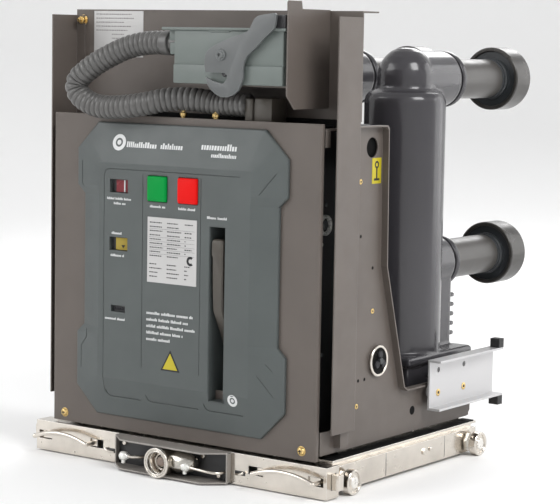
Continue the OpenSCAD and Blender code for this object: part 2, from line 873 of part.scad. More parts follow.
// Cross-recessed brass screws on the cover and the side plates.
module brass_screws() {
    color(BRASS) place() both_sides() {
        rod_y(cover_w / 2 - 22, cover_z + 12, 11, -4, 0);
        for (p = [[92, 405], [127, 231], [93, 107]])
            rod_x(p[0], p[1], 6, side_x, side_x + 1.5);
        for (dy = [23, 92])
            rod_x(rail_y + dy, rail_z + 22, 9, web_x, web_x + 2);
    }
}

front_cover();
front_fascia();
spring_flag();
position_flag();
operation_counter();
rating_plate();
close_button();
open_button();
charging_lever();
mechanism_housing();
left_side_plate();
right_side_plate();
left_post();
right_post();
baffle_sheet();
plug_bracket();
plug_housing();
plug_latch();
hose_socket();
control_hose();
pole_tray();
left_pole();
middle_pole();
right_pole();
upper_arms();
lower_arms();
tulip_shrouds();
tulip_contacts();
left_guide_rail();
right_guide_rail();
rail_buffers();
truck_frame();
truck_axles();
truck_crossbeam();
racking_bracket();
racking_guide();
racking_screw();
left_lock_handle();
right_lock_handle();
front_left_wheel();
front_right_wheel();
rear_left_wheel();
rear_right_wheel();
brass_screws();
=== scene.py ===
"""Looks of a withdrawable medium-voltage vacuum circuit breaker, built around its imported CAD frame.

Shapes are given in millimetres, with depths counted from the front cover's outer face towards the rear.
"""
import json
import math
import random

import bmesh
import bpy
from mathutils import Matrix, Vector


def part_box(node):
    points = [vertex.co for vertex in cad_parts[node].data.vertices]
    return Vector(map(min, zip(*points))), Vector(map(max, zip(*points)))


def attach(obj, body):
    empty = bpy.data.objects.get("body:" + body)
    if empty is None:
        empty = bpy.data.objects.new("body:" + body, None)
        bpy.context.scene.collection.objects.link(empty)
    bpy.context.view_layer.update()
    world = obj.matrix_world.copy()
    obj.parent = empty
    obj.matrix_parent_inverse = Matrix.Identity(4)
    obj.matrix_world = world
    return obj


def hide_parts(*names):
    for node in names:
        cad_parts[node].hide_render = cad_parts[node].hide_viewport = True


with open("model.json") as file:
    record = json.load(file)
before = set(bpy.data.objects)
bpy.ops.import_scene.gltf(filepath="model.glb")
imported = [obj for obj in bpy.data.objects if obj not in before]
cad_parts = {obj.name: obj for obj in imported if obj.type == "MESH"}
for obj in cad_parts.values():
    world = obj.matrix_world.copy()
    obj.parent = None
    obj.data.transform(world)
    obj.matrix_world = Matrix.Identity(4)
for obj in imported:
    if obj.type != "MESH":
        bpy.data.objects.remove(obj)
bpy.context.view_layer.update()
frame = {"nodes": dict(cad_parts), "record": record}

MM = 0.001
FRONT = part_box("front_cover")[0].y
SEED = 7

VIEW_TURNS = (35.8, 6.1, 1.0)  # azimuth, elevation and roll in degrees
VIEW_CENTRE = (165.3, 0, 316.6)
VIEW_DISTANCE = 2.5348  # metres
LENS = 126.16


def at(x, y, z):
    """The frame's point for millimetres from the cover's face."""
    return Vector((x * MM, FRONT + y * MM, z * MM))


def size(node):
    """Low and high corner of a CAD node in millimetres, with depths from the cover's face."""
    low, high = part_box(node)
    back = Vector((0, FRONT, 0))
    return (low - back) / MM, (high - back) / MM


# ---------------------------------------------------------------- camera and hose route


def make_camera():
    azimuth, elevation, roll = (math.radians(turn) for turn in VIEW_TURNS)
    toward = Vector((
        math.sin(azimuth) * math.cos(elevation),
        -math.cos(azimuth) * math.cos(elevation),
        math.sin(elevation),
    ))
    right = Vector((math.cos(azimuth), math.sin(azimuth), 0))
    up = toward.cross(right)
    turned_right = right * math.cos(roll) + up * math.sin(roll)
    turned_up = up * math.cos(roll) - right * math.sin(roll)
    camera = bpy.data.objects.new("camera", bpy.data.cameras.new("camera"))
    bpy.context.scene.collection.objects.link(camera)
    turn = Matrix((turned_right, turned_up, toward)).transposed().to_4x4()
    camera.matrix_world = Matrix.Translation(at(*VIEW_CENTRE) + toward * VIEW_DISTANCE) @ turn
    camera.data.lens = LENS
    camera.data.shift_y = -0.002
    camera.data.clip_end = 50
    bpy.context.scene.camera = camera


make_camera()

HOSE_POINTS = [
    (65, 20, 502), (46, 20, 502), (28, 16, 505), (10, 9, 507), (-8, 2, 507), (-26, -5, 505), (-43, -12, 501),
    (-70, -18, 496), (-104, -20, 493), (-129, -21, 494), (-148, -22, 500), (-162, -22, 509),
    (-167, -22, 520), (-163, -21, 531), (-152, -20, 540), (-136, -17, 551), (-112, -12, 564),
    (-88, -7, 574), (-67, -4, 579), (-46, -3, 581), (-24, -3, 581),
]


# ---------------------------------------------------------------- materials


def node_of(tree, kind, **inputs):
    node = tree.nodes.new(kind)
    for name, value in inputs.items():
        node.inputs[name].default_value = value
    return node


def noise(tree, coords, size_mm, detail=3.0, stretch=(1, 1, 1)):
    """Noise whose spots are about size_mm wide, stretched along the object's axes."""
    mapping = node_of(tree, "ShaderNodeMapping", Scale=[s / (size_mm * MM) for s in stretch])
    texture = node_of(tree, "ShaderNodeTexNoise", Scale=1.0, Detail=detail)
    tree.links.new(coords, mapping.inputs["Vector"])
    tree.links.new(mapping.outputs["Vector"], texture.inputs["Vector"])
    return texture.outputs["Fac"]


def ranged(tree, value, low, high, span=(0.3, 0.7)):
    node = node_of(tree, "ShaderNodeMapRange")
    for name, number in (("From Min", span[0]), ("From Max", span[1]), ("To Min", low), ("To Max", high)):
        node.inputs[name].default_value = number
    tree.links.new(value, node.inputs["Value"])
    return node.outputs["Result"]


def mixed(tree, factor, first, second):
    node = tree.nodes.new("ShaderNodeMix")
    node.data_type = "RGBA"
    for socket, value in ((node.inputs[6], first), (node.inputs[7], second)):
        if isinstance(value, tuple):
            socket.default_value = (*value, 1)
        else:
            tree.links.new(value, socket)
    tree.links.new(factor, node.inputs[0])
    return node.outputs[2]


def tinted(colour, factor):
    return tuple(min(1.0, c * factor) for c in colour)


def material(name, colour, rough, metal=0.0, blotch=0.06, blotch_mm=70, grain_mm=0.7, grain=0.02,
             edge_mm=0.8, edge_wear_and_highlight=None, coat=0.0, streak=(1, 1, 1), rough_vary=0.05, specular=0.5):
    """A surface with colour blotches, a fine grain, rounded edges and, given an edge colour, lighter edges
    that are partly wear and partly a painted highlight.
    """
    made = bpy.data.materials.new(name)
    made.use_nodes = True
    tree = made.node_tree
    shader = tree.nodes["Principled BSDF"]
    coords = tree.nodes.new("ShaderNodeTexCoord").outputs["Object"]
    patches = noise(tree, coords, blotch_mm, stretch=streak)
    base = mixed(tree, ranged(tree, patches, 0, 1), tinted(colour, 1 - blotch), tinted(colour, 1 + blotch))
    edge = node_of(tree, "ShaderNodeBevel", Radius=edge_mm * MM)
    edge.samples = 4
    # Lighter edges where the rounded normal turns away: partly wear, partly a painted highlight along the
    # edges.
    if edge_wear_and_highlight:
        geometry = tree.nodes.new("ShaderNodeNewGeometry")
        facing = tree.nodes.new("ShaderNodeVectorMath")
        facing.operation = "DOT_PRODUCT"
        tree.links.new(edge.outputs["Normal"], facing.inputs[0])
        tree.links.new(geometry.outputs["Normal"], facing.inputs[1])
        edge_wear_and_highlight_mask = ranged(tree, facing.outputs["Value"], 1, 0, (0.88, 0.99))
        base = mixed(tree, edge_wear_and_highlight_mask, base, edge_wear_and_highlight)
    tree.links.new(base, shader.inputs["Base Color"])
    dull = noise(tree, coords, blotch_mm / 3, stretch=streak)
    tree.links.new(ranged(tree, dull, rough - rough_vary, rough + rough_vary), shader.inputs["Roughness"])
    shader.inputs["Metallic"].default_value = metal
    shader.inputs["Coat Weight"].default_value = coat
    shader.inputs["Specular IOR Level"].default_value = specular
    bump = node_of(tree, "ShaderNodeBump", Distance=grain * MM, Strength=1.0)
    tree.links.new(noise(tree, coords, grain_mm, 2.0), bump.inputs["Height"])
    tree.links.new(edge.outputs["Normal"], bump.inputs["Normal"])
    tree.links.new(bump.outputs["Normal"], shader.inputs["Normal"])
    return made


# The edge colours below lighten the edges: partly wear, partly a painted highlight.
LOOKS = {
    "taupe_paint": dict(colour=(0.105, 0.088, 0.077), rough=0.5, grain_mm=1.2, grain=0.05,
                        edge_wear_and_highlight=(0.20, 0.18, 0.165)),
    "fascia_plastic": dict(colour=(0.072, 0.083, 0.082), rough=0.46, grain_mm=0.6, grain=0.04, edge_mm=1.6),
    "black_paint": dict(colour=(0.022, 0.022, 0.023), rough=0.45, edge_wear_and_highlight=(0.06, 0.06, 0.06)),
    "black_plastic": dict(colour=(0.03, 0.03, 0.032), rough=0.5, grain=0.04),
    "red_plastic": dict(colour=(0.70, 0.006, 0.005), rough=0.5, blotch=0.03, specular=0.12),
    "green_plastic": dict(colour=(0.0, 0.26, 0.045), rough=0.5, blotch=0.03, specular=0.12),
    "yellow_plastic": dict(colour=(0.33, 0.24, 0.02), rough=0.5, blotch=0.05),
    "white_label": dict(colour=(0.50, 0.495, 0.49), rough=0.4, blotch=0.03, edge_mm=0.2),
    "plug_grey": dict(colour=(0.135, 0.158, 0.148), rough=0.45, blotch=0.05, grain=0.04),
    "hose_grey": dict(colour=(0.095, 0.093, 0.09), rough=0.33, blotch=0.07, blotch_mm=40),
    "zinc_plate": dict(colour=(0.66, 0.615, 0.555), rough=0.2, metal=1.0, blotch=0.10, blotch_mm=35,
                       grain_mm=2.5, grain=0.02, rough_vary=0.08, edge_wear_and_highlight=(0.82, 0.81, 0.78)),
    "dark_steel": dict(colour=(0.19, 0.18, 0.17), rough=0.32, metal=0.8, blotch=0.15, blotch_mm=25,
                       edge_wear_and_highlight=(0.5, 0.48, 0.46)),
    "epoxy": dict(colour=(0.040, 0.038, 0.043), rough=0.22, blotch=0.05, blotch_mm=120, grain_mm=6,
                  grain=0.02, coat=0.18),
    "arm_sheath": dict(colour=(0.054, 0.050, 0.046), rough=0.34, blotch=0.06, grain_mm=4, grain=0.03),
    "polished_metal": dict(colour=(0.050, 0.047, 0.044), rough=0.3, metal=0.3, blotch=0.08),
    "silver_plate": dict(colour=(0.80, 0.77, 0.70), rough=0.24, metal=1.0, blotch=0.08, blotch_mm=12),
    "aluminium_rail": dict(colour=(0.52, 0.515, 0.52), rough=0.42, metal=0.3, blotch=0.05,
                           streak=(1, 0.15, 1), edge_wear_and_highlight=(0.75, 0.75, 0.75)),
    "black_rubber": dict(colour=(0.022, 0.022, 0.022), rough=0.6, grain=0.05),
    "brass": dict(colour=(0.72, 0.52, 0.22), rough=0.28, metal=1.0, blotch=0.10, blotch_mm=6),
    "white_ink": dict(colour=(0.66, 0.67, 0.67), rough=0.5, blotch=0.03, edge_mm=0.05),
    "black_ink": dict(colour=(0.022, 0.022, 0.025), rough=0.5, blotch=0.03, edge_mm=0.05, specular=0.25),
    "sign_yellow": dict(colour=(0.47, 0.39, 0.01), rough=0.45, blotch=0.05, edge_mm=0.1),
    "dark_red": dict(colour=(0.17, 0.005, 0.012), rough=0.3, blotch=0.05),
    "slate": dict(colour=(0.026, 0.029, 0.032), rough=0.38, grain_mm=1.0, grain=0.03),
    "cast_grey": dict(colour=(0.105, 0.112, 0.113), rough=0.42, blotch=0.05, grain_mm=1.0, grain=0.05,
                      edge_wear_and_highlight=(0.26, 0.28, 0.275)),
    "print_grey": dict(colour=(0.22, 0.21, 0.21), rough=0.5, blotch=0.05, edge_mm=0.05),
    "white_cap": dict(colour=(0.80, 0.80, 0.76), rough=0.28, metal=0.35, blotch=0.04, blotch_mm=10),
    "hub_white": dict(colour=(0.78, 0.76, 0.72), rough=0.3, metal=0.7, blotch=0.05, blotch_mm=10),
    "cast_metal": dict(colour=(0.50, 0.48, 0.44), rough=0.2, metal=1.0, blotch=0.2, blotch_mm=8, grain_mm=6,
                       grain=0.25),
    "bronze": dict(colour=(0.27, 0.22, 0.19), rough=0.35, metal=0.9, blotch=0.1, blotch_mm=6),
    "deep_black": dict(colour=(0.004, 0.004, 0.004), rough=0.7, specular=0.1),
    "folded_zinc": dict(colour=(0.27, 0.25, 0.23), rough=0.35, metal=0.3, blotch=0.1,
                        edge_wear_and_highlight=(0.7, 0.69, 0.66)),
    "lever_grey": dict(colour=(0.062, 0.054, 0.044), rough=0.42, grain_mm=0.8, grain=0.05),
}

FINISH = {name: material(name, **look) for name, look in LOOKS.items()}


def dress_cad_nodes():
    """Gives each CAD node the finish of its material slot."""
    for part in frame["record"]["subparts"]:
        piece = frame["nodes"][part["node"]]
        if not piece.material_slots:
            piece.data.materials.append(None)
        for slot in piece.material_slots:
            slot.material = FINISH[part["material_slot"]]


dress_cad_nodes()


# ---------------------------------------------------------------- making pieces


class Shape:
    """One mesh in the making, in millimetres from the cover's face."""

    def __init__(self):
        self.mesh = bmesh.new()

    def box(self, low, high, bevel=0.0, segments=2):
        corners = bmesh.ops.create_cube(self.mesh, size=1)["verts"]
        low, high = Vector(low), Vector(high)
        for v in corners:
            v.co = Vector(low[i] + (high[i] - low[i]) * (v.co[i] + 0.5) for i in range(3))
        if bevel:
            edges = list({e for v in corners for e in v.link_edges})
            bmesh.ops.bevel(
                self.mesh, geom=edges, offset=bevel, segments=segments, profile=0.5, affect="EDGES")
        return self

    def flank_box(self, side, xs, ys, zs, bevel=0.0):
        """A box at distances xs from the middle plane, on the side that is -1 for left or 1 for right."""
        x0, x1 = sorted(side * x for x in xs)
        return self.box((x0, ys[0], zs[0]), (x1, ys[1], zs[1]), bevel)

    def loft(self, rings, close_start=True, close_end=True, round_trip=False):
        """Joins rings of points, each with the same count, into a skin."""
        made = [[self.mesh.verts.new(p) for p in ring] for ring in rings]
        pairs = list(zip(made, made[1:])) + ([(made[-1], made[0])] if round_trip else [])
        for a, b in pairs:
            for i in range(len(a)):
                j = (i + 1) % len(a)
                self.mesh.faces.new((a[i], a[j], b[j], b[i]))
        if close_start and not round_trip:
            self.mesh.faces.new(made[0][::-1])
        if close_end and not round_trip:
            self.mesh.faces.new(made[-1])
        return self

    def lathe(self, profile, origin, axis, sides=40, closed=False):
        """Turns (radius, distance) pairs about an axis through origin."""
        axis = Vector(axis).normalized()
        side = axis.orthogonal().normalized()
        other = axis.cross(side)
        rings = []
        for radius, along in profile:
            ring = []
            for k in range(sides):
                angle = 2 * math.pi * k / sides
                spoke = side * math.cos(angle) + other * math.sin(angle)
                ring.append(Vector(origin) + axis * along + spoke * max(radius, 0.02))
            rings.append(ring)
        return self.loft(rings, round_trip=closed)

    def rod(self, start, end, d, sides=24):
        along = Vector(end) - Vector(start)
        return self.lathe([(d / 2, 0), (d / 2, along.length)], start, along, sides)

    def prism(self, outline, axis, low, high):
        """Extrudes an outline along axis 0, 1 or 2; the outline gives the other two axes in order."""
        others = [i for i in range(3) if i != axis]

        def point(pair, depth):
            p = [0, 0, 0]
            p[others[0]], p[others[1]], p[axis] = pair[0], pair[1], depth
            return Vector(p)

        return self.loft([[point(q, low) for q in outline], [point(q, high) for q in outline]])

    def sweep(self, points, d, sides=12):
        """A tube along points, with its section carried without twist."""
        points = [Vector(p) for p in points]
        rings = []
        side = None
        for i, p in enumerate(points):
            along = (points[min(i + 1, len(points) - 1)] - points[max(i - 1, 0)]).normalized()
            side = along.orthogonal() if side is None else side - along * side.dot(along)
            side.normalize()
            other = along.cross(side)
            r = d[i] / 2 if isinstance(d, list) else d / 2
            turns = [2 * math.pi * k / sides for k in range(sides)]
            rings.append([p + (side * math.cos(a) + other * math.sin(a)) * r for a in turns])
        return self.loft(rings)

    def object(self, name):
        bmesh.ops.recalc_face_normals(self.mesh, faces=self.mesh.faces)
        for v in self.mesh.verts:
            v.co = at(*v.co)
        data = bpy.data.meshes.new(name)
        self.mesh.to_mesh(data)
        self.mesh.free()
        made = bpy.data.objects.new(name, data)
        bpy.context.scene.collection.objects.link(made)
        return made

    def finish(self, name, slot, look=None, body="breaker", bevel=0.0, smooth=38, replaces=()):
        """Turns the shape into a piece that rides on body, with the finish of its slot or of look."""
        made = self.object(name)
        if bevel:
            bevel_edges(made, bevel, 2, 32)
        return settle(made, body, slot, look, smooth, replaces)


def apply_modifiers(piece):
    evaluated = piece.evaluated_get(bpy.context.evaluated_depsgraph_get())
    mesh = bpy.data.meshes.new_from_object(evaluated)
    piece.modifiers.clear()
    piece.data = mesh


def bevel_edges(piece, width, segments, angle):
    """Rounds the edges that turn by more than angle degrees."""
    modifier = piece.modifiers.new("bevel", "BEVEL")
    modifier.width = width * MM
    modifier.segments = segments
    modifier.limit_method = "ANGLE"
    modifier.angle_limit = math.radians(angle)
    apply_modifiers(piece)


def settle(piece, body, slot, look=None, smooth=38, replaces=()):
    """Shades a piece, gives it its finish and lets it ride on its body."""
    mesh = bmesh.new()
    mesh.from_mesh(piece.data)
    for face in mesh.faces:
        face.smooth = True
    limit = math.radians(smooth)
    for e in mesh.edges:
        e.smooth = len(e.link_faces) == 2 and e.calc_face_angle(0) < limit
    mesh.to_mesh(piece.data)
    mesh.free()
    piece.data.materials.clear()
    piece.data.materials.append(FINISH[look or slot])
    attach(piece, body)
    if replaces:
        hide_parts(*replaces)
    return piece


def cut(piece, cutter):
    """Takes the cutter's shapes out of a piece."""
    modifier = piece.modifiers.new("cut", "BOOLEAN")
    modifier.operation = "DIFFERENCE"
    modifier.solver = "EXACT"
    modifier.use_self = True
    modifier.object = cutter
    apply_modifiers(piece)
    bpy.data.objects.remove(cutter)


# ---------------------------------------------------------------- hose


def spline(points, step):
    """Points every step millimetres along a Catmull-Rom curve through points."""
    points = [Vector(p) for p in points]
    fine = []
    for i in range(len(points) - 1):
        p0, p1, p2 = points[max(i - 1, 0)], points[i], points[i + 1]
        p3 = points[min(i + 2, len(points) - 1)]
        for k in range(20):
            t = k / 20
            fine.append(0.5 * (2 * p1 + (p2 - p0) * t + (2 * p0 - 5 * p1 + 4 * p2 - p3) * t * t
                               + (3 * p1 - p0 - 3 * p2 + p3) * t ** 3))
    fine.append(points[-1])
    length = sum((b - a).length for a, b in zip(fine, fine[1:]))
    count = round(length / step)
    result, walked, i = [fine[0]], 0.0, 0
    for k in range(1, count):
        goal = length * k / count
        while walked + (fine[i + 1] - fine[i]).length < goal:
            walked += (fine[i + 1] - fine[i]).length
            i += 1
        rest = (goal - walked) / (fine[i + 1] - fine[i]).length
        result.append(fine[i].lerp(fine[i + 1], rest))
    return result + [fine[-1]], length


HOSE_D = 32.0
GROOVE_DEPTH = 4.4
RIDGE_PITCH = 8.2


def control_hose():
    """Corrugated conduit: round ridges with narrow grooves between them."""
    per_ridge = 8
    path, length = spline(HOSE_POINTS, RIDGE_PITCH / per_ridge)
    widths = []
    for i in range(len(path)):
        phase = math.pi * (i % per_ridge) / per_ridge
        widths.append(HOSE_D - GROOVE_DEPTH * (1 - math.sin(phase) ** 0.55))
    shape = Shape().sweep(path, widths, sides=40)
    hose = shape.finish("corrugated_hose", "hose_grey", smooth=80, replaces=["control_hose"])


control_hose()


# ---------------------------------------------------------------- fascia

FASCIA_LOW, FASCIA_HIGH = size("front_fascia")
MID_Z = (FASCIA_LOW.z + FASCIA_HIGH.z) / 2
RIM_Y, FACE_Y = -5.0, FASCIA_LOW.y
RIM_HALF = [(142, 202.5), (160.5, 184), (179, 165.5), (179, 116), (166, 104),
            (166, -80), (179, -92), (179, -165.5), (160.5, -184), (142, -202.5)]
FACE_HALF = [(118, 148.5), (130, 148.5), (130, 136.5), (130, 116), (129, 104),
             (129, -80), (130, -92), (130, -136.5), (130, -148.5), (118, -148.5)]
WINDOWS = {"spring": (-94, 386.5, 32, 18), "position": (-94, 307.5, 32, 18), "counter": (-94, 218.5, 25, 9)}
SLOT = (75.8, 225.5, 26, 233)
BUTTON_Z = 386.5


def fascia_depth(x, z):
    """Depth of the fascia's surface in front of the point x, z."""
    slope = max((abs(x) - 130) / 49, (abs(z - MID_Z) - 148.5) / 54, 0)
    return min(FACE_Y + (RIM_Y - FACE_Y) * slope, RIM_Y)


def full_ring(half, y, inset=0.0):
    """Both halves of an outline at depth y, drawn in towards its middle by inset."""
    both = half + [(-x, z) for x, z in reversed(half)]
    return [Vector((x - math.copysign(inset, x), y, MID_Z + z - math.copysign(inset, z))) for x, z in both]


def groove(cutter, points, width=1.1, depth=1.0):
    """Adds a shallow channel that follows points on the fascia's surface to a cutter."""
    path = []
    for (x0, z0), (x1, z1) in zip(points, points[1:]):
        steps = max(2, round(math.hypot(x1 - x0, z1 - z0) / 12))
        path += [(x0 + (x1 - x0) * k / steps, z0 + (z1 - z0) * k / steps) for k in range(steps)]
    path.append(points[-1])
    rings = []
    for i, (x, z) in enumerate(path):
        before, after = path[max(i - 1, 0)], path[min(i + 1, len(path) - 1)]
        along = Vector((after[0] - before[0], 0, after[1] - before[1])).normalized()
        across = Vector((along.z, 0, -along.x)) * width / 2
        front = Vector((x, fascia_depth(x, z), z))
        proud, deep = Vector((0, -2, 0)), Vector((0, depth, 0))
        rings.append([front - across + proud, front + across + proud,
                      front + across * 0.5 + deep, front - across * 0.5 + deep])
    cutter.loft(rings)


def corner(cx, cz, r, start, end, steps=5):
    turns = [math.radians(start + (end - start) * k / steps) for k in range(steps + 1)]
    return [(cx + r * math.cos(a), cz + r * math.sin(a)) for a in turns]


def fascia():
    body = Shape()
    body.loft([
        full_ring(RIM_HALF, -0.05), full_ring(RIM_HALF, RIM_Y + 1.2), full_ring(RIM_HALF, RIM_Y, 1.2),
        full_ring(FACE_HALF, FACE_Y),
    ])
    piece = body.object("operating_fascia")
    grooves = Shape()
    groove(grooves, [(112, 409.5)] + corner(-110, 399.5, 10, 90, 180) + corner(-110, 106, 10, 180, 225, 3))
    groove(grooves, [(-51.5, 404), (-51.5, 142)])
    groove(grooves, [(47.8, 404), (47.8, 142)])
    groove(grooves, [(163.5, 415.5), (141, 388)], 1.6)
    groove(grooves, [(-168.5, 418), (-168.5, 387), (-156.5, 375),
                     (-156.5, 172), (-168.5, 160), (-168.5, 129)], 1.6)
    groove(grooves, [(141, 151.8), (164.5, 125.2)], 1.4)
    groove(grooves, [(153, 168), (163, 158.5)], 1.4)
    for left, right in ((-117.5, -56.5), (-46, 43.5), (54, 118)):
        groove(grooves, corner(left + 9, 104.5, 9, 180, 270) + [(right, 95.5)], 1.5, 1.4)
    cut(piece, grooves.object("grooves"))
    openings = Shape()
    for x, z, w, h in list(WINDOWS.values()) + [SLOT]:
        openings.box((x - w / 2, FACE_Y - 5, z - h / 2), (x + w / 2, 1, z + h / 2))
    for x in (-26, 26):
        openings.box((x - 16.7, FACE_Y - 5, BUTTON_Z - 17.7), (x + 16.7, 1, BUTTON_Z + 17.7))
    cut(piece, openings.object("openings"))
    settle(piece, "breaker", "fascia_plastic", smooth=9, replaces=["front_fascia"])


def slot_well():
    """Thin walls that line the lever's slot, with a sloped floor."""
    x, z, w, h = SLOT
    wall, back, bottom = 0.8, 45, z - h / 2
    well = Shape()
    for side in (-1, 1):
        near, far = sorted((x + side * (w / 2 - wall), x + side * w / 2))
        well.box((near, FACE_Y + 1, bottom), (far, back, z + h / 2))
    floor = [(FACE_Y + 1.5, bottom), (back, bottom), (back, bottom + 6), (FACE_Y + 3, bottom + 0.8)]
    well.prism(floor, 0, x - w / 2 + 0.9, x + w / 2 - 0.9)
    well.finish("lever_slot_walls", "fascia_plastic", smooth=20)


def window_details():
    """Drums and number wheels behind the windows."""
    back = FACE_Y + 6.9
    for key, slot, look in (("spring", "red_plastic", "dark_red"), ("position", "yellow_plastic", None)):
        x, z, w, h = WINDOWS[key]
        turns = [math.radians(a) for a in range(-80, 81, 10)]
        arc = [(x + 15.4 * math.sin(a), back - 3.2 * math.cos(a)) for a in turns]
        outline = [(px, py) for px, py in arc if px > x - 8] + [(x + 15.4, back), (x - 8, back)]
        drum = Shape().prism(outline, 2, z - h / 2 + 0.6, z + h / 2 - 0.6)
        drum.finish(key + "_drum", slot, look)
        # A black box beside the drum fills the window's empty part with painted shade.
        shade = Shape().box((x - w / 2 + 0.5, FACE_Y + 5.8, z - h / 2 + 0.5),
                            (x - 8.2, back, z + h / 2 - 0.5), 0.3)
        shade.finish(key + "_window_shade", "black_plastic")
    x, z, w, h = WINDOWS["spring"]
    stripe = Shape().box((x + 6.6, FACE_Y + 3.2, z - h / 2 + 0.8),
                         (x + 8.6, FACE_Y + 4.4, z + h / 2 - 0.8), 0.2)
    stripe.finish("spring_drum_stripe", "white_label", "white_ink")
    x, z, w, h = WINDOWS["position"]
    arrow = [(x + 2.5, z - 1.5), (x + 8.5, z - 1.5), (x + 5.5, z - 5.5)]
    mark = Shape().prism(arrow, 1, FACE_Y + 3.3, FACE_Y + 4.3)
    mark.finish("position_drum_mark", "black_plastic", "black_ink")
    x, z, w, h = WINDOWS["counter"]
    wheels = Shape()
    for k in range(5):
        centre = (x - 9.2 + 4.6 * k, FACE_Y + 6.2, z)
        wheels.lathe([(2.6, -2.05), (3.1, -1.7), (3.1, 1.7), (2.6, 2.05)], centre, (1, 0, 0), 16)
    wheels.finish("counter_wheels", "black_plastic", "black_ink")


# ---------------------------------------------------------------- printed marks


SUNK, PROUD = 0.15, -0.12


def print_ring(points, lift):
    """The points x, z on the fascia's surface, moved by lift towards the rear."""
    return [Vector((x, fascia_depth(x, z) + lift, z)) for x, z in points]


def plaque(shape, x0, z0, x1, z1):
    """One thin printed bar that follows the fascia's surface."""
    ring = [(x0, z0), (x1, z0), (x1, z1), (x0, z1)]
    shape.loft([print_ring(ring, SUNK), print_ring(ring, PROUD)])


def bar_row(shape, x0, x1, z, height, draw, word=(4, 11)):
    """A row of short bars between x0 and x1, in place of a line of print."""
    x, scale = x0, height / 3.4
    while x < x1 - 1.5 * scale:
        word_end = min(x + draw.uniform(*word), x1)
        while x < word_end - 0.8 * scale:
            w = draw.uniform(0.9, 1.5) * scale
            tall = height * draw.choice((0.7, 0.7, 1.0))
            plaque(shape, x, z - height / 2, min(x + w, word_end), z - height / 2 + tall)
            x += w + 0.55 * scale
        x += 1.8 * scale


def disc_mark(shape, x, z, rx, rz):
    """A plain ring around a plain dot."""
    turns = [2 * math.pi * k / 32 for k in range(32)]

    def ring(scale, lift):
        return print_ring([(x + rx * scale * math.cos(a), z + rz * scale * math.sin(a)) for a in turns], lift)

    shape.loft([ring(1, SUNK), ring(1, PROUD), ring(0.55, PROUD), ring(0.55, SUNK)], round_trip=True)
    shape.loft([ring(0.3, SUNK), ring(0.3, PROUD)])


def printed_marks():
    draw = random.Random(SEED)
    white = Shape()
    disc_mark(white, -99, 445.6, 11.5, 11)
    disc_mark(white, 103.5, 114.6, 8, 8)
    for x0, x1, z, h in ((-85, -32, 443.6, 7.6), (-26, 13, 443.6, 7.6),
                         (43, 104, 446.5, 8.6), (61, 104, 435.6, 5.6)):
        bar_row(white, x0, x1, z, h, draw, (60, 60))
    for x0, x1, z, h in ((-114.6, -71.4, 369.4, 3.2), (-102.6, -81.7, 363.0, 3.2), (-39, -12.5, 362.8, 3.4),
                         (10, 38.7, 362.4, 3.4), (-106, -86, 322.2, 3.4), (-107.7, -83.5, 291.8, 3.4),
                         (58.5, 91.3, 353.8, 3.4), (-116.9, -78.6, 204.4, 3.4)):
        bar_row(white, x0, x1, z, h, draw, (12, 20))
    for k, x1 in enumerate((37, 29, 41, 20, -1)):
        bar_row(white, -43, x1, 218.5 - 8.9 * k, 4.0, draw, (14, 24))
    white.finish("fascia_print", "white_label", "white_ink", smooth=20)
    border, sign = Shape(), Shape()
    for shape, inset, proud in ((border, 0.0, 0.25), (sign, 2.1, 0.4)):
        low = 142.2 + inset
        ring = [(-1.2, 170.5 - 2 * inset), (-17.5 + 1.75 * inset, low), (15.1 - 1.75 * inset, low)]
        shape.loft([[Vector((x, y, z)) for x, z in ring] for y in (FACE_Y + 0.2, FACE_Y - proud)])
    border.finish("triangle_border", "black_plastic", "black_ink")
    sign.finish("triangle_sign", "yellow_plastic", "sign_yellow")


def rating_plate_rows():
    draw = random.Random(SEED + 1)
    low, high = size("rating_plate")
    face = low.y
    ink = Shape()

    def dash(x0, z0, x1, z1):
        ring = ((x0, z0), (x1, z0), (x1, z1), (x0, z1))
        ink.loft([[Vector((x, y, z)) for x, z in ring] for y in (face + 0.1, face - 0.1)])

    for row in range(14):
        z = high.z - 7 - row * 5.6
        if row == 9:
            continue
        for start, end in ((low.x + 4, low.x + 30), (low.x + 34, low.x + 62), (low.x + 64, high.x - 4)):
            if row in (1, 8) and start > low.x + 60:
                continue
            x = start
            stop = end - draw.uniform(2, 14)
            while x < stop:
                w = draw.uniform(1.2, 3.4)
                dash(x, z - 0.7, min(x + w, stop), z + 0.7)
                x += w + 0.8
    for row in (2, 4, 5, 6, 7, 8):
        z = high.z - 4.2 - row * 5.6
        dash(low.x + 3, z - 0.12, high.x - 3, z + 0.12)
    ink.finish("rating_plate_print", "black_plastic", "black_ink")
    stamp = Shape()
    arc = [math.radians(a) for a in range(50, 311, 13)]
    centre = Vector((high.x - 10, 0, low.z + 33))
    outer = [centre + Vector((6.4 * math.cos(a), 0, 6.4 * math.sin(a))) for a in arc]
    inner = [centre + Vector((2.9 * math.cos(a), 0, 2.9 * math.sin(a))) for a in reversed(arc)]
    stamp.loft([[p + Vector((0, face + 0.1, 0)) for p in outer + inner],
                [p + Vector((0, face - 0.12, 0)) for p in outer + inner]])
    stamp.finish("rating_plate_stamp", "black_plastic", "black_ink")


# ---------------------------------------------------------------- buttons and lever


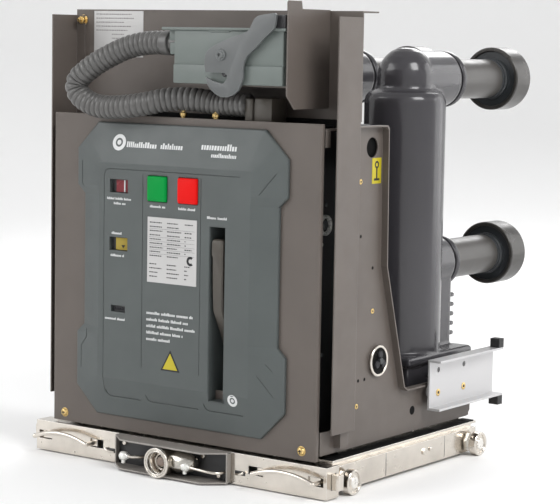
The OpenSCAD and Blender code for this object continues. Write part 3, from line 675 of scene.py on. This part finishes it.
def push_button(name, slot):
    low, high = size(name)
    x, z = (low.x + high.x) / 2, BUTTON_Z
    half_w, half_h = 16.0, 17.0

    def ring(inset, y, lift=0.0):
        """The cap's rounded outline at depth y, with its lower edge raised by lift."""
        points = []
        for cx, cz, start in ((1, 1, 0), (-1, 1, 90), (-1, -1, 180), (1, -1, 270)):
            for k in range(5):
                a = math.radians(start + 22.5 * k)
                w, h = half_w - inset - 2, half_h - inset - 2
                rise = lift if cz < 0 else 0
                points.append(Vector((x + cx * w + 2 * math.cos(a), y, z + cz * h + 2 * math.sin(a) + rise)))
        return points

    cap = Shape().loft([ring(0, FACE_Y + 6), ring(0, FACE_Y - 1.6), ring(0.5, FACE_Y - 3.2, 1.6),
                        ring(1.6, low.y, 3.4)])
    cap.finish(name + "_cap", slot, bevel=0.5, smooth=50, replaces=[name], body=name)
    stem = Shape().rod((x, FACE_Y + 5, z), (x, high.y, z), 8)
    stem.finish(name + "_stem", slot, body=name)


def charging_handle():
    """Moulded lever: a rounded cap at its tip, hollow sides and a hub on its pin."""
    low, high = size("charging_lever")
    x = (low.x + high.x) / 2 - 1.3
    tip, y = 326.0, FACE_Y - 1.0
    rows = [(tip, y + 3, y + 8, 6.5), (tip - 1.5, y + 0.6, y + 9, 8.6), (tip - 6, y, y + 10, 9.5),
            (tip - 22, y, y + 10.5, 9.5), (tip - 24, y + 1.1, y + 10.6, 8.7),
            (tip - 60, y + 1.6, y + 14, 8.6), (tip - 95, y + 3.5, y + 20, 8.6),
            (tip - 130, 3, 24, 8.6), (166, 16, 33, 8.6), (151, 19, 33, 8.6)]
    rings = []
    for z, front, back, half in rows:
        c = min(2.2, half / 3)
        left, right = x - half, x + half
        outline = [(left, front + c), (left + c, front), (right - c, front), (right, front + c),
                   (right, back - c), (right - c, back), (left + c, back), (left, back - c)]
        rings.append([Vector((px, py, z)) for px, py in outline])
    lever = Shape().loft(rings)
    lever.lathe([(10, -8.5), (11, -7.5), (11, 7.5), (10, 8.5)], (x, 26, 151), (1, 0, 0), 32)
    lever.finish("charging_handle", "black_plastic", "lever_grey", body="charging_lever", smooth=40,
                 replaces=["charging_lever"])


fascia()
slot_well()
window_details()
printed_marks()
rating_plate_rows()
push_button("close_button", "green_plastic")
push_button("open_button", "red_plastic")
charging_handle()


# ---------------------------------------------------------------- poles, arms and contacts

POLE_XS = (-150, 0, 150)
POLE_Y = 318
ARM_ZS = (535, 270)
SLEEVE_DS = (82, 76)
SLEEVE_END = 420
SHROUD_FRONT = 557


def pole_skin():
    """Cast pole: round body, domed head, two sleeves, a fin and a flanged foot melted together."""
    body = [(0, 120), (58, 120), (58, 504), (56.5, 511), (52.5, 516.5), (47.5, 519), (43.5, 520.5)]
    dome = [(41.3, 524), (40.5, 530), (40.5, 541), (39, 550), (35.5, 559), (30, 567), (22.5, 574),
            (13, 579), (0, 580.5)]
    shape = Shape().lathe(body + dome, (0, POLE_Y, 0), (0, 0, 1), 72)
    for z, d in zip(ARM_ZS, SLEEVE_DS):
        shape.lathe([(d / 2, 0), (d / 2, 88), (d / 2 - 1, 89)], (0, POLE_Y, z), (0, 1, 0), 64)
    shape.box((-32, POLE_Y, 140), (32, 408, 266), 5, 3)
    shape.box((-54, 257, 100.5), (54, 417, 140), 5, 3)
    shape.box((-60, 251, 136), (60, 423, 150), 4.5, 3)
    piece = shape.object("pole_skin")
    remesh = piece.modifiers.new("melt", "REMESH")
    remesh.mode = "VOXEL"
    remesh.voxel_size = 2.2 * MM
    smooth = piece.modifiers.new("smooth", "SMOOTH")
    smooth.factor = 0.5
    smooth.iterations = 4
    apply_modifiers(piece)
    return piece


def poles():
    first = pole_skin()
    for name, x in zip(("left_pole", "middle_pole", "right_pole"), POLE_XS):
        piece = bpy.data.objects.new(name + "_casting", first.data.copy())
        bpy.context.scene.collection.objects.link(piece)
        piece.data.transform(Matrix.Translation((x * MM, 0, 0)))
        settle(piece, "breaker", "epoxy", smooth=60, replaces=[name])
    bpy.data.objects.remove(first)
    ribs = Shape()
    for x in POLE_XS:
        for k in range(5):
            ribs.box((x - 28, 404, 162 + 14 * k), (x + 28, 422, 168.4 + 14 * k), 2.6, 3)
    ribs.finish("fin_ribs", "epoxy", smooth=50)


def each_arm(profiles, sides, start, closed=False):
    """One turned shape for each of the six arms; profiles gives the upper and the lower arms' sections."""
    shape = Shape()
    for z, profile in zip(ARM_ZS, profiles):
        for x in POLE_XS:
            shape.lathe(profile, (x, start, z), (0, 1, 0), sides, closed)
    return shape


def arm_sleeves():
    """Collars on the poles' sleeves and stepped necks in front of the shrouds."""
    bore = [(31, 13), (29.6, 12), (29.6, 0)]
    collars = [[(r - 4, 0), (r - 4, 3), (r - 0.8, 3), (r, 4), (r, 11.6), (r - 1.4, 13)] + bore
               for r in (d / 2 for d in SLEEVE_DS)]
    shape = each_arm(collars, 56, SLEEVE_END - 13, True)
    shape.finish("sleeve_collars", "epoxy", smooth=40)
    neck = [(29.2, 0), (30.4, 0.8), (30.4, 5), (29.6, 5.8), (29.6, 7.6), (31.2, 8.6), (31.2, 18),
            (28, 18), (28, 0)]
    shape = each_arm([neck, neck], 48, SHROUD_FRONT - 13, True)
    shape.finish("arm_necks", "arm_sheath", "slate", smooth=40)


def shrouds():
    """Hoods around the contacts, each closed at its front by a thin seat."""
    hood = [(41, 4), (41, 1), (42, 0), (45.6, 0), (47, 1.4), (47, 39.6), (45.6, 41), (43.4, 41), (42.2, 39.8),
            (42, 8), (33, 8), (33, 4)]
    shape = each_arm([hood, hood], 72, SHROUD_FRONT, True)
    shape.finish("shroud_hoods", "polished_metal", smooth=40, replaces=["tulip_shrouds"])
    seat = [(30.8, 2.6), (41.2, 2.6), (41.2, 4.2), (30.8, 4.2)]
    each_arm([seat, seat], 72, SHROUD_FRONT, True).finish("shroud_seats", "arm_sheath", "slate")


def contact_finger(shape, x, z, k, count):
    """The k-th of count wedge-shaped fingers around the contact at x, z."""
    sections = ((562, 17.9, 27), (563.5, 17.8, 28.3), (588, 17.8, 28.3), (593, 18.6, 27.6), (596, 21, 25.5))
    rings = []
    for y, inner, outer in sections:
        corners = ((inner, -0.86), (outer, -0.9), (outer, 0.9), (inner, 0.86))
        polar = [(r, math.pi * (2 * k + turn) / count) for r, turn in corners]
        rings.append([Vector((x + r * math.cos(a), y, z + r * math.sin(a))) for r, a in polar])
    shape.loft(rings)


def tulip_contacts():
    fingers, springs = Shape(), Shape()
    for x in POLE_XS:
        for z in ARM_ZS:
            for k in range(24):
                contact_finger(fingers, x, z, k, 24)
    fingers.finish("contact_fingers", "silver_plate", smooth=30, replaces=["tulip_contacts"])
    section = [(28.9 + 1.3 * math.cos(a), 1.3 * math.sin(a)) for a in [math.pi * k / 4 for k in range(8)]]
    for y in (569, 584):
        for x in POLE_XS:
            for z in ARM_ZS:
                springs.lathe(section, (x, y, z), (0, 1, 0), 48, True)
    springs.finish("contact_springs", "zinc_plate", smooth=60)


# ---------------------------------------------------------------- control plug

LATCH_OUTLINE = [
    (66, 562), (68, 569), (73, 574), (80, 578), (104, 588), (131, 596), (138, 600),
    (141, 606), (145, 613), (150, 617), (159, 619), (177, 621), (179, 619), (178, 607),
    (176, 601), (162, 590), (149, 578), (135, 567), (130, 559), (128, 551), (128, 539),
    (125, 530), (121, 522), (113, 516), (103, 513), (93, 513), (84, 517), (76, 523),
    (72, 528), (69, 536), (68, 544), (66, 553),
]
LATCH_SLOT = [
    (64, 544), (79, 544), (99, 544), (103, 541), (103, 537), (99, 532), (96, 530),
    (81, 533), (69, 538), (64, 539),
]


def control_plug():
    body = Shape()
    body.box((8, -27.4, 550), (185, 22, 598.5), 1.6)
    body.box((8, -29.2, 529), (185, 22, 554), 1.5)
    body.finish("plug_body", "plug_grey", smooth=35)
    lid = Shape()
    lid.box((-12, -30, 598), (189, 24, 602), 1.4, 3)
    lid.box((66, -28.6, 595.8), (100, 20, 598.6), 0.9)
    lid.box((-4, -22, 566), (9, 12, 582), 2)
    lid.box((-10, -16, 584), (9, 10, 598.6), 1.5)
    lid.finish("plug_lid", "plug_grey", smooth=35)
    block = Shape().box((172, -28, 601.8), (188, -4, 619), 1.2)
    block.finish("plug_key_block", "black_plastic", replaces=["plug_housing"])
    section = [(15.4, -2), (16.6, -1.2), (16.6, 9.5), (15.6, 10.5), (13, 10.5), (13, 34), (0, 34), (0, -2)]
    gland = Shape().lathe(section, HOSE_POINTS[-1], (1, 0, 0), 40)
    gland.finish("hose_gland", "hose_grey", smooth=40)


def plug_latch():
    back, front = -33.0, -37.0
    plate = Shape().prism(LATCH_OUTLINE, 1, front, back).object("latch_plate")
    slot = Shape().prism(LATCH_SLOT, 1, front - 5, back + 5).object("slot")
    cut(plate, slot)
    bevel_edges(plate, 0.9, 3, 40)
    settle(plate, "plug_latch", "plug_grey", "cast_grey", smooth=34, replaces=["plug_latch"])
    section = [(7.6, 0), (7.6, 1.6), (6.6, 2.6), (5.2, 2.6), (5.2, 4.0), (4.4, 4.7), (2.2, 4.7),
               (1.9, 2.4), (0, 2.4)]
    screw = Shape().lathe(section, (93, front + 0.1, 567), (0, -1, 0), 36)
    screw.finish("latch_screw", "zinc_plate", "cast_grey", smooth=35, body="plug_latch")
    pin = Shape().lathe([(0, 0), (4.2, 0), (4.2, 3.4), (3.6, 4), (0, 4)], (94.5, -28, 543.2), (0, -1, 0), 24)
    pin.finish("latch_stop_pin", "black_plastic", smooth=35)


def hose_socket():
    # The blocks are taupe paint in shade; the dark lever_grey finish on them is painted shade.
    socket = Shape()
    socket.box((97, 10, 478), (110, 44, 511), 2)
    socket.box((113, 10, 478), (141, 44, 512), 2)
    socket.box((109, 13, 478), (114, 41, 506), 0.5)
    socket.finish("socket_blocks", "black_plastic", "lever_grey", smooth=35)
    waves = [math.sin(math.pi * (k % 6) / 6) ** 0.55 for k in range(24)]
    ridges = [((HOSE_D - GROOVE_DEPTH * (1 - wave)) / 2, RIDGE_PITCH / 6 * k)
              for k, wave in enumerate(waves)]
    sleeve = Shape().lathe([(13, -3)] + ridges + [(0, 32.9)], HOSE_POINTS[0], (1, 0, 0), 36)
    sleeve.finish("socket_sleeve", "black_plastic", "hose_grey", smooth=80, replaces=["hose_socket"])
    studs = Shape()
    stud = [(3.2, 0), (3.2, 5), (4.8, 5.2), (4.8, 9.6), (4.2, 10.4), (2.6, 10.4), (2.6, 13), (0, 13.4)]
    for x in (48, -7):
        studs.lathe(stud, (x, 12.5, 479), (0, 0, 1), 6 if x > 0 else 24)
    studs.lathe([(7.5, 0), (7.5, 1.2), (5.4, 1.4), (5.4, 6), (4.6, 7), (3, 7), (3, 11), (0, 11.4)],
                (-231, 63.9, 611), (0, -1, 0), 24)
    studs.finish("brass_studs", "brass", smooth=35)


poles()
arm_sleeves()
shrouds()
tulip_contacts()
control_plug()
plug_latch()
hose_socket()


# ---------------------------------------------------------------- frame details

SIDE_X = 227.0
SIDES = (-1, 1)
FITTING = (0, 140, 163)
SHAFT = (0, 41, 350)


def disc_x(shape, y, z, r, x0, x1, side=1, sides=24, edge=0.3):
    """A flat disc with a rounded edge that faces outwards on one side."""
    shape.lathe([(0, x0), (r, x0), (r, x1 - edge), (r - edge, x1), (0, x1)], (0, y, z), (side, 0, 0), sides)


def cross_screw(shape, sockets, place, axis, r, height):
    """A domed screw head on a washer, and the dark cross cut in it."""
    axis, place, up = Vector(axis), Vector(place), Vector((0, 0, 1))
    washer = [(r * 1.25, -0.4), (r * 1.25, 0.5), (r * 1.05, 0.6)]
    head = [(r, height * 0.5), (r * 0.8, height * 0.85), (r * 0.4, height), (0, height)]
    shape.lathe(washer + head, place, axis, 28)
    for along in (up, axis.cross(up)):
        across = axis.cross(along)
        rings = []
        for k in (-1, 1):
            base = place + along * (k * r * 0.55)
            rings.append([base + across * (s * r * 0.13) + axis * (height * h) for s, h in
                          ((-1, 0.6), (1, 0.6), (1, 1.03), (-1, 1.03))])
        sockets.loft(rings)


def flat_screw(heads, sockets, side, x, y, z, r):
    """A countersunk screw head that faces outwards, with a round dark socket."""
    rim = [(0, -0.4), (r, -0.4), (r, 0.4), (r * 0.85, 0.9), (r * 0.55, 1.0), (r * 0.42, 0.5), (0, 0.5)]
    heads.lathe(rim, (side * x, y, z), (side, 0, 0), 24)
    disc_x(sockets, y, z, r * 0.4, x + 0.3, x + 0.75, side, 12, 0.05)


def screws():
    heads, sockets = Shape(), Shape()
    for side in SIDES:
        cross_screw(heads, sockets, (side * 205, 0, 59), (0, -1, 0), 5.2, 4)
        for y, z in ((92, 405), (127, 231), (93, 107)):
            flat_screw(heads, sockets, side, SIDE_X, y, z, 3.6)
        for y in (276, 345):
            flat_screw(heads, sockets, side, 242, y, 103, 5.2)
    heads.finish("screw_heads", "brass", smooth=40, replaces=["brass_screws"])
    sockets.finish("screw_crosses", "black_plastic", "black_ink")


def side_fittings():
    """Round fittings with three lobes on the side plates, and the plates' small dark holes."""
    rings, sockets, lobes, hubs = Shape(), Shape(), Shape(), Shape()
    _, fitting_y, fitting_z = FITTING
    for side in SIDES:
        out = (side, 0, 0)
        rings.lathe([(17.6, 229.8), (21.4, 229.8), (21.4, 231.2), (20.6, 232), (18.4, 232), (17.6, 231.2)],
                    FITTING, out, 48, True)
        sockets.lathe([(0, 231.0), (17.7, 231.0), (17.7, 231.5), (0, 231.5)], FITTING, out, 40)
        for k in range(3):
            a = math.radians(90 + 120 * k)
            y, z = fitting_y + 8.6 * math.cos(a), fitting_z + 8.6 * math.sin(a)
            disc_x(lobes, y, z, 5.2, 231.2, 234.5, side, 20, 1.2)
        hubs.lathe([(0, 231), (4.6, 231), (4.6, 235), (3.8, 235.8), (0, 235.8)], FITTING, out, 20)
        for y, z in ((95, 333), (125, 289), (96, 141), (111, 141)):
            disc_x(sockets, y, z, 2.3, 226.8, 227.15, side, 16, 0.05)
        disc_x(sockets, 233, 82, 6.2, 226.8, 227.15, side, 24, 0.05)
    rings.finish("fitting_rings", "zinc_plate", smooth=40)
    sockets.finish("fitting_seats", "black_plastic", "deep_black")
    lobes.finish("fitting_lobes", "black_plastic", "black_ink", smooth=40)
    hubs.finish("fitting_hubs", "zinc_plate", "slate", smooth=40)


def lifting_labels():
    """Yellow labels beside the lifting holes, with a plain ring over a plain bar."""
    plates, ink = Shape(), Shape()
    skin = (SIDE_X + 0.2, SIDE_X + 0.4)
    for side in SIDES:
        plates.flank_box(side, (SIDE_X - 0.05, SIDE_X + 0.25), (118.5, 140.3), (401, 435), 0.1)
        ring = [(2.6, skin[0]), (5, skin[0]), (5, skin[1]), (2.6, skin[1])]
        ink.lathe(ring, (0, 129.5, 426), (side, 0, 0), 24, True)
        ink.flank_box(side, skin, (128, 131), (408, 421.5))
        ink.flank_box(side, skin, (123, 136), (405, 408))
    plates.finish("lifting_labels", "yellow_plastic", "sign_yellow")
    ink.finish("lifting_label_marks", "black_plastic", "black_ink")


def gap_details():
    """Shaft ends on the mechanism housing's sides and small angles behind the cover's upper corners."""
    bearings, bolts, angles = Shape(), Shape(), Shape()
    for side in SIDES:
        bearings.lathe([(9.4, 204.5), (13.4, 204.5), (13.4, 209), (12.6, 210), (10.2, 210), (9.4, 209)],
                       SHAFT, (side, 0, 0), 40, True)
        bolts.lathe([(0, 204.5), (6.2, 204.5), (6.2, 208), (5, 209), (0, 209)], SHAFT, (side, 0, 0), 6)
        disc_x(bearings, 33, 325, 3.4, 204.8, 208.5, side, 16, 0.8)
        for y, z, r in ((44, 376, 2.2), (34, 250, 2.2), (40, 180, 2.6)):
            disc_x(bolts, y, z, r, 204.8, 207.5, side, 16, 0.6)
        angles.flank_box(side, (210, 226.5), (11, 58), (473, 475.5), 0.6)
        angles.flank_box(side, (224.5, 226.5), (11, 22), (452, 474), 0.6)
    bearings.finish("shaft_rings", "zinc_plate", "white_cap", smooth=40)
    bolts.finish("shaft_bolts", "zinc_plate", "cast_grey", smooth=40)
    angles.finish("corner_angles", "taupe_paint")


def painted_shade_sheets():
    """Black sheets of painted shade inside the frame: behind the lifting holes, under the baffle and on the
    deck's edges.
    """
    shade_sheets = Shape()
    for side in SIDES:
        shade_sheets.flank_box(side, (207, 223), (98, 143), (420, 474), 1)
        shade_sheets.flank_box(side, (220, 239), (22, 382), (46.9, 48.6), 0.4)
    shade_sheets.box((-223, 60, 470), (223, 63.6, 486), 0.5)
    shade_sheets.finish("frame_painted_shade", "black_paint", "deep_black")


def baffle_label():
    """Plate with rows of short bars on the baffle: five long rows over four short ones."""
    draw = random.Random(SEED + 2)
    plate = Shape().box((-211, 63.5, 560), (-121, 64.1, 624), 0.15)
    plate.finish("instruction_plate", "white_label")
    ink = Shape()
    for row in range(9):
        z = 620.0 - row * 5.6
        x, lengths = (-207.0, (50, 82)) if row < 5 else (-178.0, (14, 40))
        stop = x + draw.uniform(*lengths)
        while x < stop:
            w = draw.uniform(1.4, 4.4)
            ink.box((x, 63.35, z - 1.2), (min(x + w, stop), 63.6, z + 0.2))
            x += w + 0.9
    ink.finish("instruction_print", "black_plastic", "print_grey")


# ---------------------------------------------------------------- truck

SCREW_Z = 22
GUIDE_MOUTH = (0, -47, SCREW_Z)


def bracket_parts():
    """Folded racking bracket: two shaped flanges with bright edges on a black back plate."""
    half, front, beam = 97, -40, -8
    wing = [(-half, beam), (-half, beam - 8), (-half + 28, front),
            (half - 28, front), (half, beam - 8), (half, beam)]
    flanges = Shape()
    for z in (2, 42):
        flanges.prism(wing, 2, z, z + 2)
    for side in SIDES:
        flanges.flank_box(side, (half - 2, half), (-17, beam), (2.2, 43.8), 0.4)
    flanges.finish("bracket_flanges", "zinc_plate", "folded_zinc", bevel=0.4, smooth=35, body="racking_beam")
    back = Shape().box((-half + 1, beam - 2, 3), (half - 1, beam, 43), 0.3).object("bracket_back")
    hole = Shape().rod((0, beam - 6, SCREW_Z), (0, beam + 4, SCREW_Z), 33, 40).object("hole")
    cut(back, hole)
    settle(back, "racking_beam", "black_paint", smooth=30, replaces=["racking_bracket"])


def guide_parts():
    """Round guide for the crank handle, its funnel, and the end of the racking screw inside it."""
    lip = [(14.5, 0), (14.5, 1), (15.2, 0.2), (16.4, 0.2), (16.8, 1.2), (17.6, 1.2), (18.2, 0), (20.1, 0)]
    tube = [(20.5, 0.6), (20.5, 4.2), (19.8, 5), (17.6, 5.6), (17.5, 36.8), (15, 36.8), (15, 8)]
    guide = Shape().lathe(lip + tube, GUIDE_MOUTH, (0, 1, 0), 64, True)
    guide.finish("guide_ring", "zinc_plate", smooth=35, replaces=["racking_guide"], body="racking_beam")
    cone = [(14.6, 6), (14.6, 5), (11, 13), (9.2, 13), (9.2, 15), (12, 15)]
    funnel = Shape().lathe(cone, GUIDE_MOUTH, (0, 1, 0), 48, True)
    funnel.finish("guide_funnel", "zinc_plate", smooth=35, body="racking_beam")
    hexagon = [(0, 0), (4.6, 0), (6.6, 1.4), (6.6, 8), (0, 8)]
    crank_end = Shape().lathe(hexagon, (0, -38.5, SCREW_Z), (0, 1, 0), 6)
    crank_end.finish("screw_crank_end", "zinc_plate", "bronze", body="racking_screw")


def bracket_casting():
    """Rounded casting beside the guide, cut away where the guide and the back plate are."""
    sections = ((12, 14, 14), (18, 15.5, 15), (28, 15.5, 14.5), (38, 14.5, 13),
                (46, 11.5, 10.5), (50, 7, 6.5))
    turns = [2 * math.pi * k / 28 for k in range(28)]
    rings = [[Vector((x, -23 + w * math.cos(a), 24 + h * math.sin(a))) for a in turns]
             for x, w, h in sections]
    piece = Shape().loft(rings).object("bracket_casting")
    cut(piece, Shape().rod((0, -50, SCREW_Z), (0, 0, SCREW_Z), 34.6, 48).object("bore"))
    keep = Shape().box((0, -8.2, 0), (60, 10, 60)).object("behind")
    cut(piece, keep)
    settle(piece, "racking_beam", "zinc_plate", "cast_metal", smooth=50)


def bracket_knobs():
    """Release levers beside the guide: round knobs on thin rods."""
    knobs, rods, bolts = Shape(), Shape(), Shape()
    section = [(0, -6), (4.2, -6), (5.6, -4.6), (6.0, -2), (6.0, 3), (4.6, 5), (3.0, 6), (3.0, 8), (0, 8)]
    for x in (-67, 40):
        knobs.lathe(section, (x, -33, 20.5), (1, 0, 0), 24)
        knobs.lathe([(0, 0), (2.8, 0), (2.8, 5), (0, 6)], (x - 1, -33, 15.5), (0, 0, -1), 16)
    rods.sweep([(-62, -33, 20.5), (-52, -32, 20.5), (-44, -26, 20.5), (-42, -18, 20.5), (-42, -9, 20.5)], 4.2)
    rods.sweep([(46, -33, 20.5), (60, -33, 19.5), (74, -32.5, 18.5), (84, -30, 17.6), (89, -25, 17.2),
                (91, -17, 17), (91, -10, 17)], 4.2)
    for x, z in ((-45, 12.5), (53, 33.5), (80, 10.5), (-84, 33)):
        bolts.lathe([(0, 0), (3.6, 0), (3.6, 2), (2.8, 3.2), (0, 3.4)], (x, -10, z), (0, -1, 0), 18)
    knobs.finish("release_knobs", "zinc_plate", "white_cap", smooth=40, body="racking_beam")
    rods.finish("release_rods", "zinc_plate", smooth=60, body="racking_beam")
    bolts.finish("bracket_screws", "zinc_plate", smooth=40, body="racking_beam")


def beam_details():
    """Bent tongues in the beam's small slots, beside the racking bracket."""
    tongues, slots = Shape(), Shape()
    for side in SIDES:
        slots.flank_box(side, (104, 121), (-8.15, -7.9), (15, 21), 0.05)
        bend = [(106, -8.4, 16), (112, -11, 16.6), (117, -12, 18), (120, -11, 20)]
        tongues.sweep([(side * x, y, z) for x, y, z in bend], 3.4, 10)
    slots.finish("beam_slots", "black_paint", body="racking_beam")
    tongues.finish("beam_tongues", "zinc_plate", smooth=60, body="racking_beam")


def wheel_parts():
    """Turned rollers with a stepped face, on the axles' round heads."""
    hubs = Shape()
    tread = [(6.3, 246.2), (16, 246.2), (17, 247.2), (17, 256.8), (16, 257.8)]
    face = [(13.8, 257.8), (13, 257), (12.6, 255.6), (9.8, 255.6), (9.4, 256.6), (6.3, 256.6)]
    cap = [(0, 252), (8.2, 255.8), (8.2, 257), (7.2, 257.9), (0, 257.9)]
    nut = [(6.6, 240), (14, 240), (14, 243.4), (12.4, 245.4), (6.6, 245.4)]
    for side, name in ((-1, "left"), (1, "right")):
        for place, y in (("front", 48), ("rear", 372)):
            node = place + "_" + name + "_wheel"
            centre, out = (0, y, 17), (side, 0, 0)
            roller = Shape().lathe(tread + face, centre, out, 56, True)
            roller.finish(node + "_roller", "zinc_plate", smooth=35, replaces=[node], body=node)
            hubs.lathe(cap, centre, out, 32)
            hubs.lathe(nut, centre, out, 6, True)
    hubs.finish("axle_heads", "zinc_plate", "hub_white", smooth=35)


def truck_side_details():
    """Joints, bolts and pressed lines along the truck's side rails."""
    bolts, lines = Shape(), Shape()
    for side in SIDES:
        disc_x(bolts, 246, 24, 5.2, 239.8, 242.6, side, 6, 0.6)
        disc_x(bolts, 262, 25, 3.0, 239.8, 242.6, side, 16, 0.6)
        for ys in ((148, 150), (300, 301.4)):
            lines.flank_box(side, (239.9, 240.15), ys, (6, 37), 0.05)
    bolts.finish("rail_bolts", "zinc_plate", smooth=35)
    lines.finish("rail_joints", "dark_steel")


screws()
side_fittings()
lifting_labels()
gap_details()
painted_shade_sheets()
baffle_label()
bracket_parts()
guide_parts()
bracket_casting()
bracket_knobs()
beam_details()
wheel_parts()
truck_side_details()


# ---------------------------------------------------------------- stage and lights


def make_stage():
    """A pale floor that curves up into a round wall, in metres."""
    flat, curve, top, sides = 3.4, 2.4, 6.0, 96
    profile = [(r, 0) for r in (0.4, 1.2, 2.2, 3.0, flat)]
    bend = [math.radians(6 * k) for k in range(1, 16)]
    profile += [(flat + curve * math.sin(a), curve * (1 - math.cos(a))) for a in bend]
    profile += [(flat + curve, top)]
    mesh = bmesh.new()
    turns = [2 * math.pi * k / sides for k in range(sides)]
    rings = [[mesh.verts.new((r * math.cos(a), r * math.sin(a), z)) for a in turns] for r, z in profile]
    mesh.faces.new(rings[0])
    for near, far in zip(rings, rings[1:]):
        for k in range(sides):
            mesh.faces.new((near[k], near[(k + 1) % sides], far[(k + 1) % sides], far[k]))
    bmesh.ops.recalc_face_normals(mesh, faces=mesh.faces)
    if mesh.faces[0].normal.z < 0:
        bmesh.ops.reverse_faces(mesh, faces=mesh.faces)
    for face in mesh.faces:
        face.smooth = True
    data = bpy.data.meshes.new("floor")
    mesh.to_mesh(data)
    mesh.free()
    floor = bpy.data.objects.new("floor", data)
    bpy.context.scene.collection.objects.link(floor)
    look = bpy.data.materials.new("floor")
    look.use_nodes = True
    shader = look.node_tree.nodes["Principled BSDF"]
    shader.inputs["Base Color"].default_value = (0.95, 0.95, 0.95, 1)
    shader.inputs["Roughness"].default_value = 0.7
    data.materials.append(look)


def area_light(name, place, aim, width, power):
    light = bpy.data.lights.new(name, "AREA")
    light.shape = "SQUARE"
    light.size = width
    light.energy = power
    lamp = bpy.data.objects.new(name, light)
    lamp.location = place
    lamp.rotation_euler = (Vector(aim) - Vector(place)).to_track_quat("-Z", "Y").to_euler()
    bpy.context.scene.collection.objects.link(lamp)


def make_lights():
    world = bpy.data.worlds.new("studio")
    world.use_nodes = True
    sky = world.node_tree.nodes["Background"]
    sky.inputs["Color"].default_value = (1, 1, 1, 1)
    sky.inputs["Strength"].default_value = 0.55
    bpy.context.scene.world = world
    area_light("key", (2.8, -0.7, 2.7), (0, 0, 0.3), 1.6, 76)
    area_light("fill", (-2.0, -2.6, 1.8), (0, 0, 0.3), 2.0, 42)
    area_light("side", (2.0, 2.7, 1.0), (0, 0.1, 0.35), 2.4, 28)
    area_light("back", (-1.0, 2.8, 2.4), (0, 0, 0.3), 1.6, 40)
    bpy.context.scene.view_settings.view_transform = "Standard"


make_stage()
make_lights()
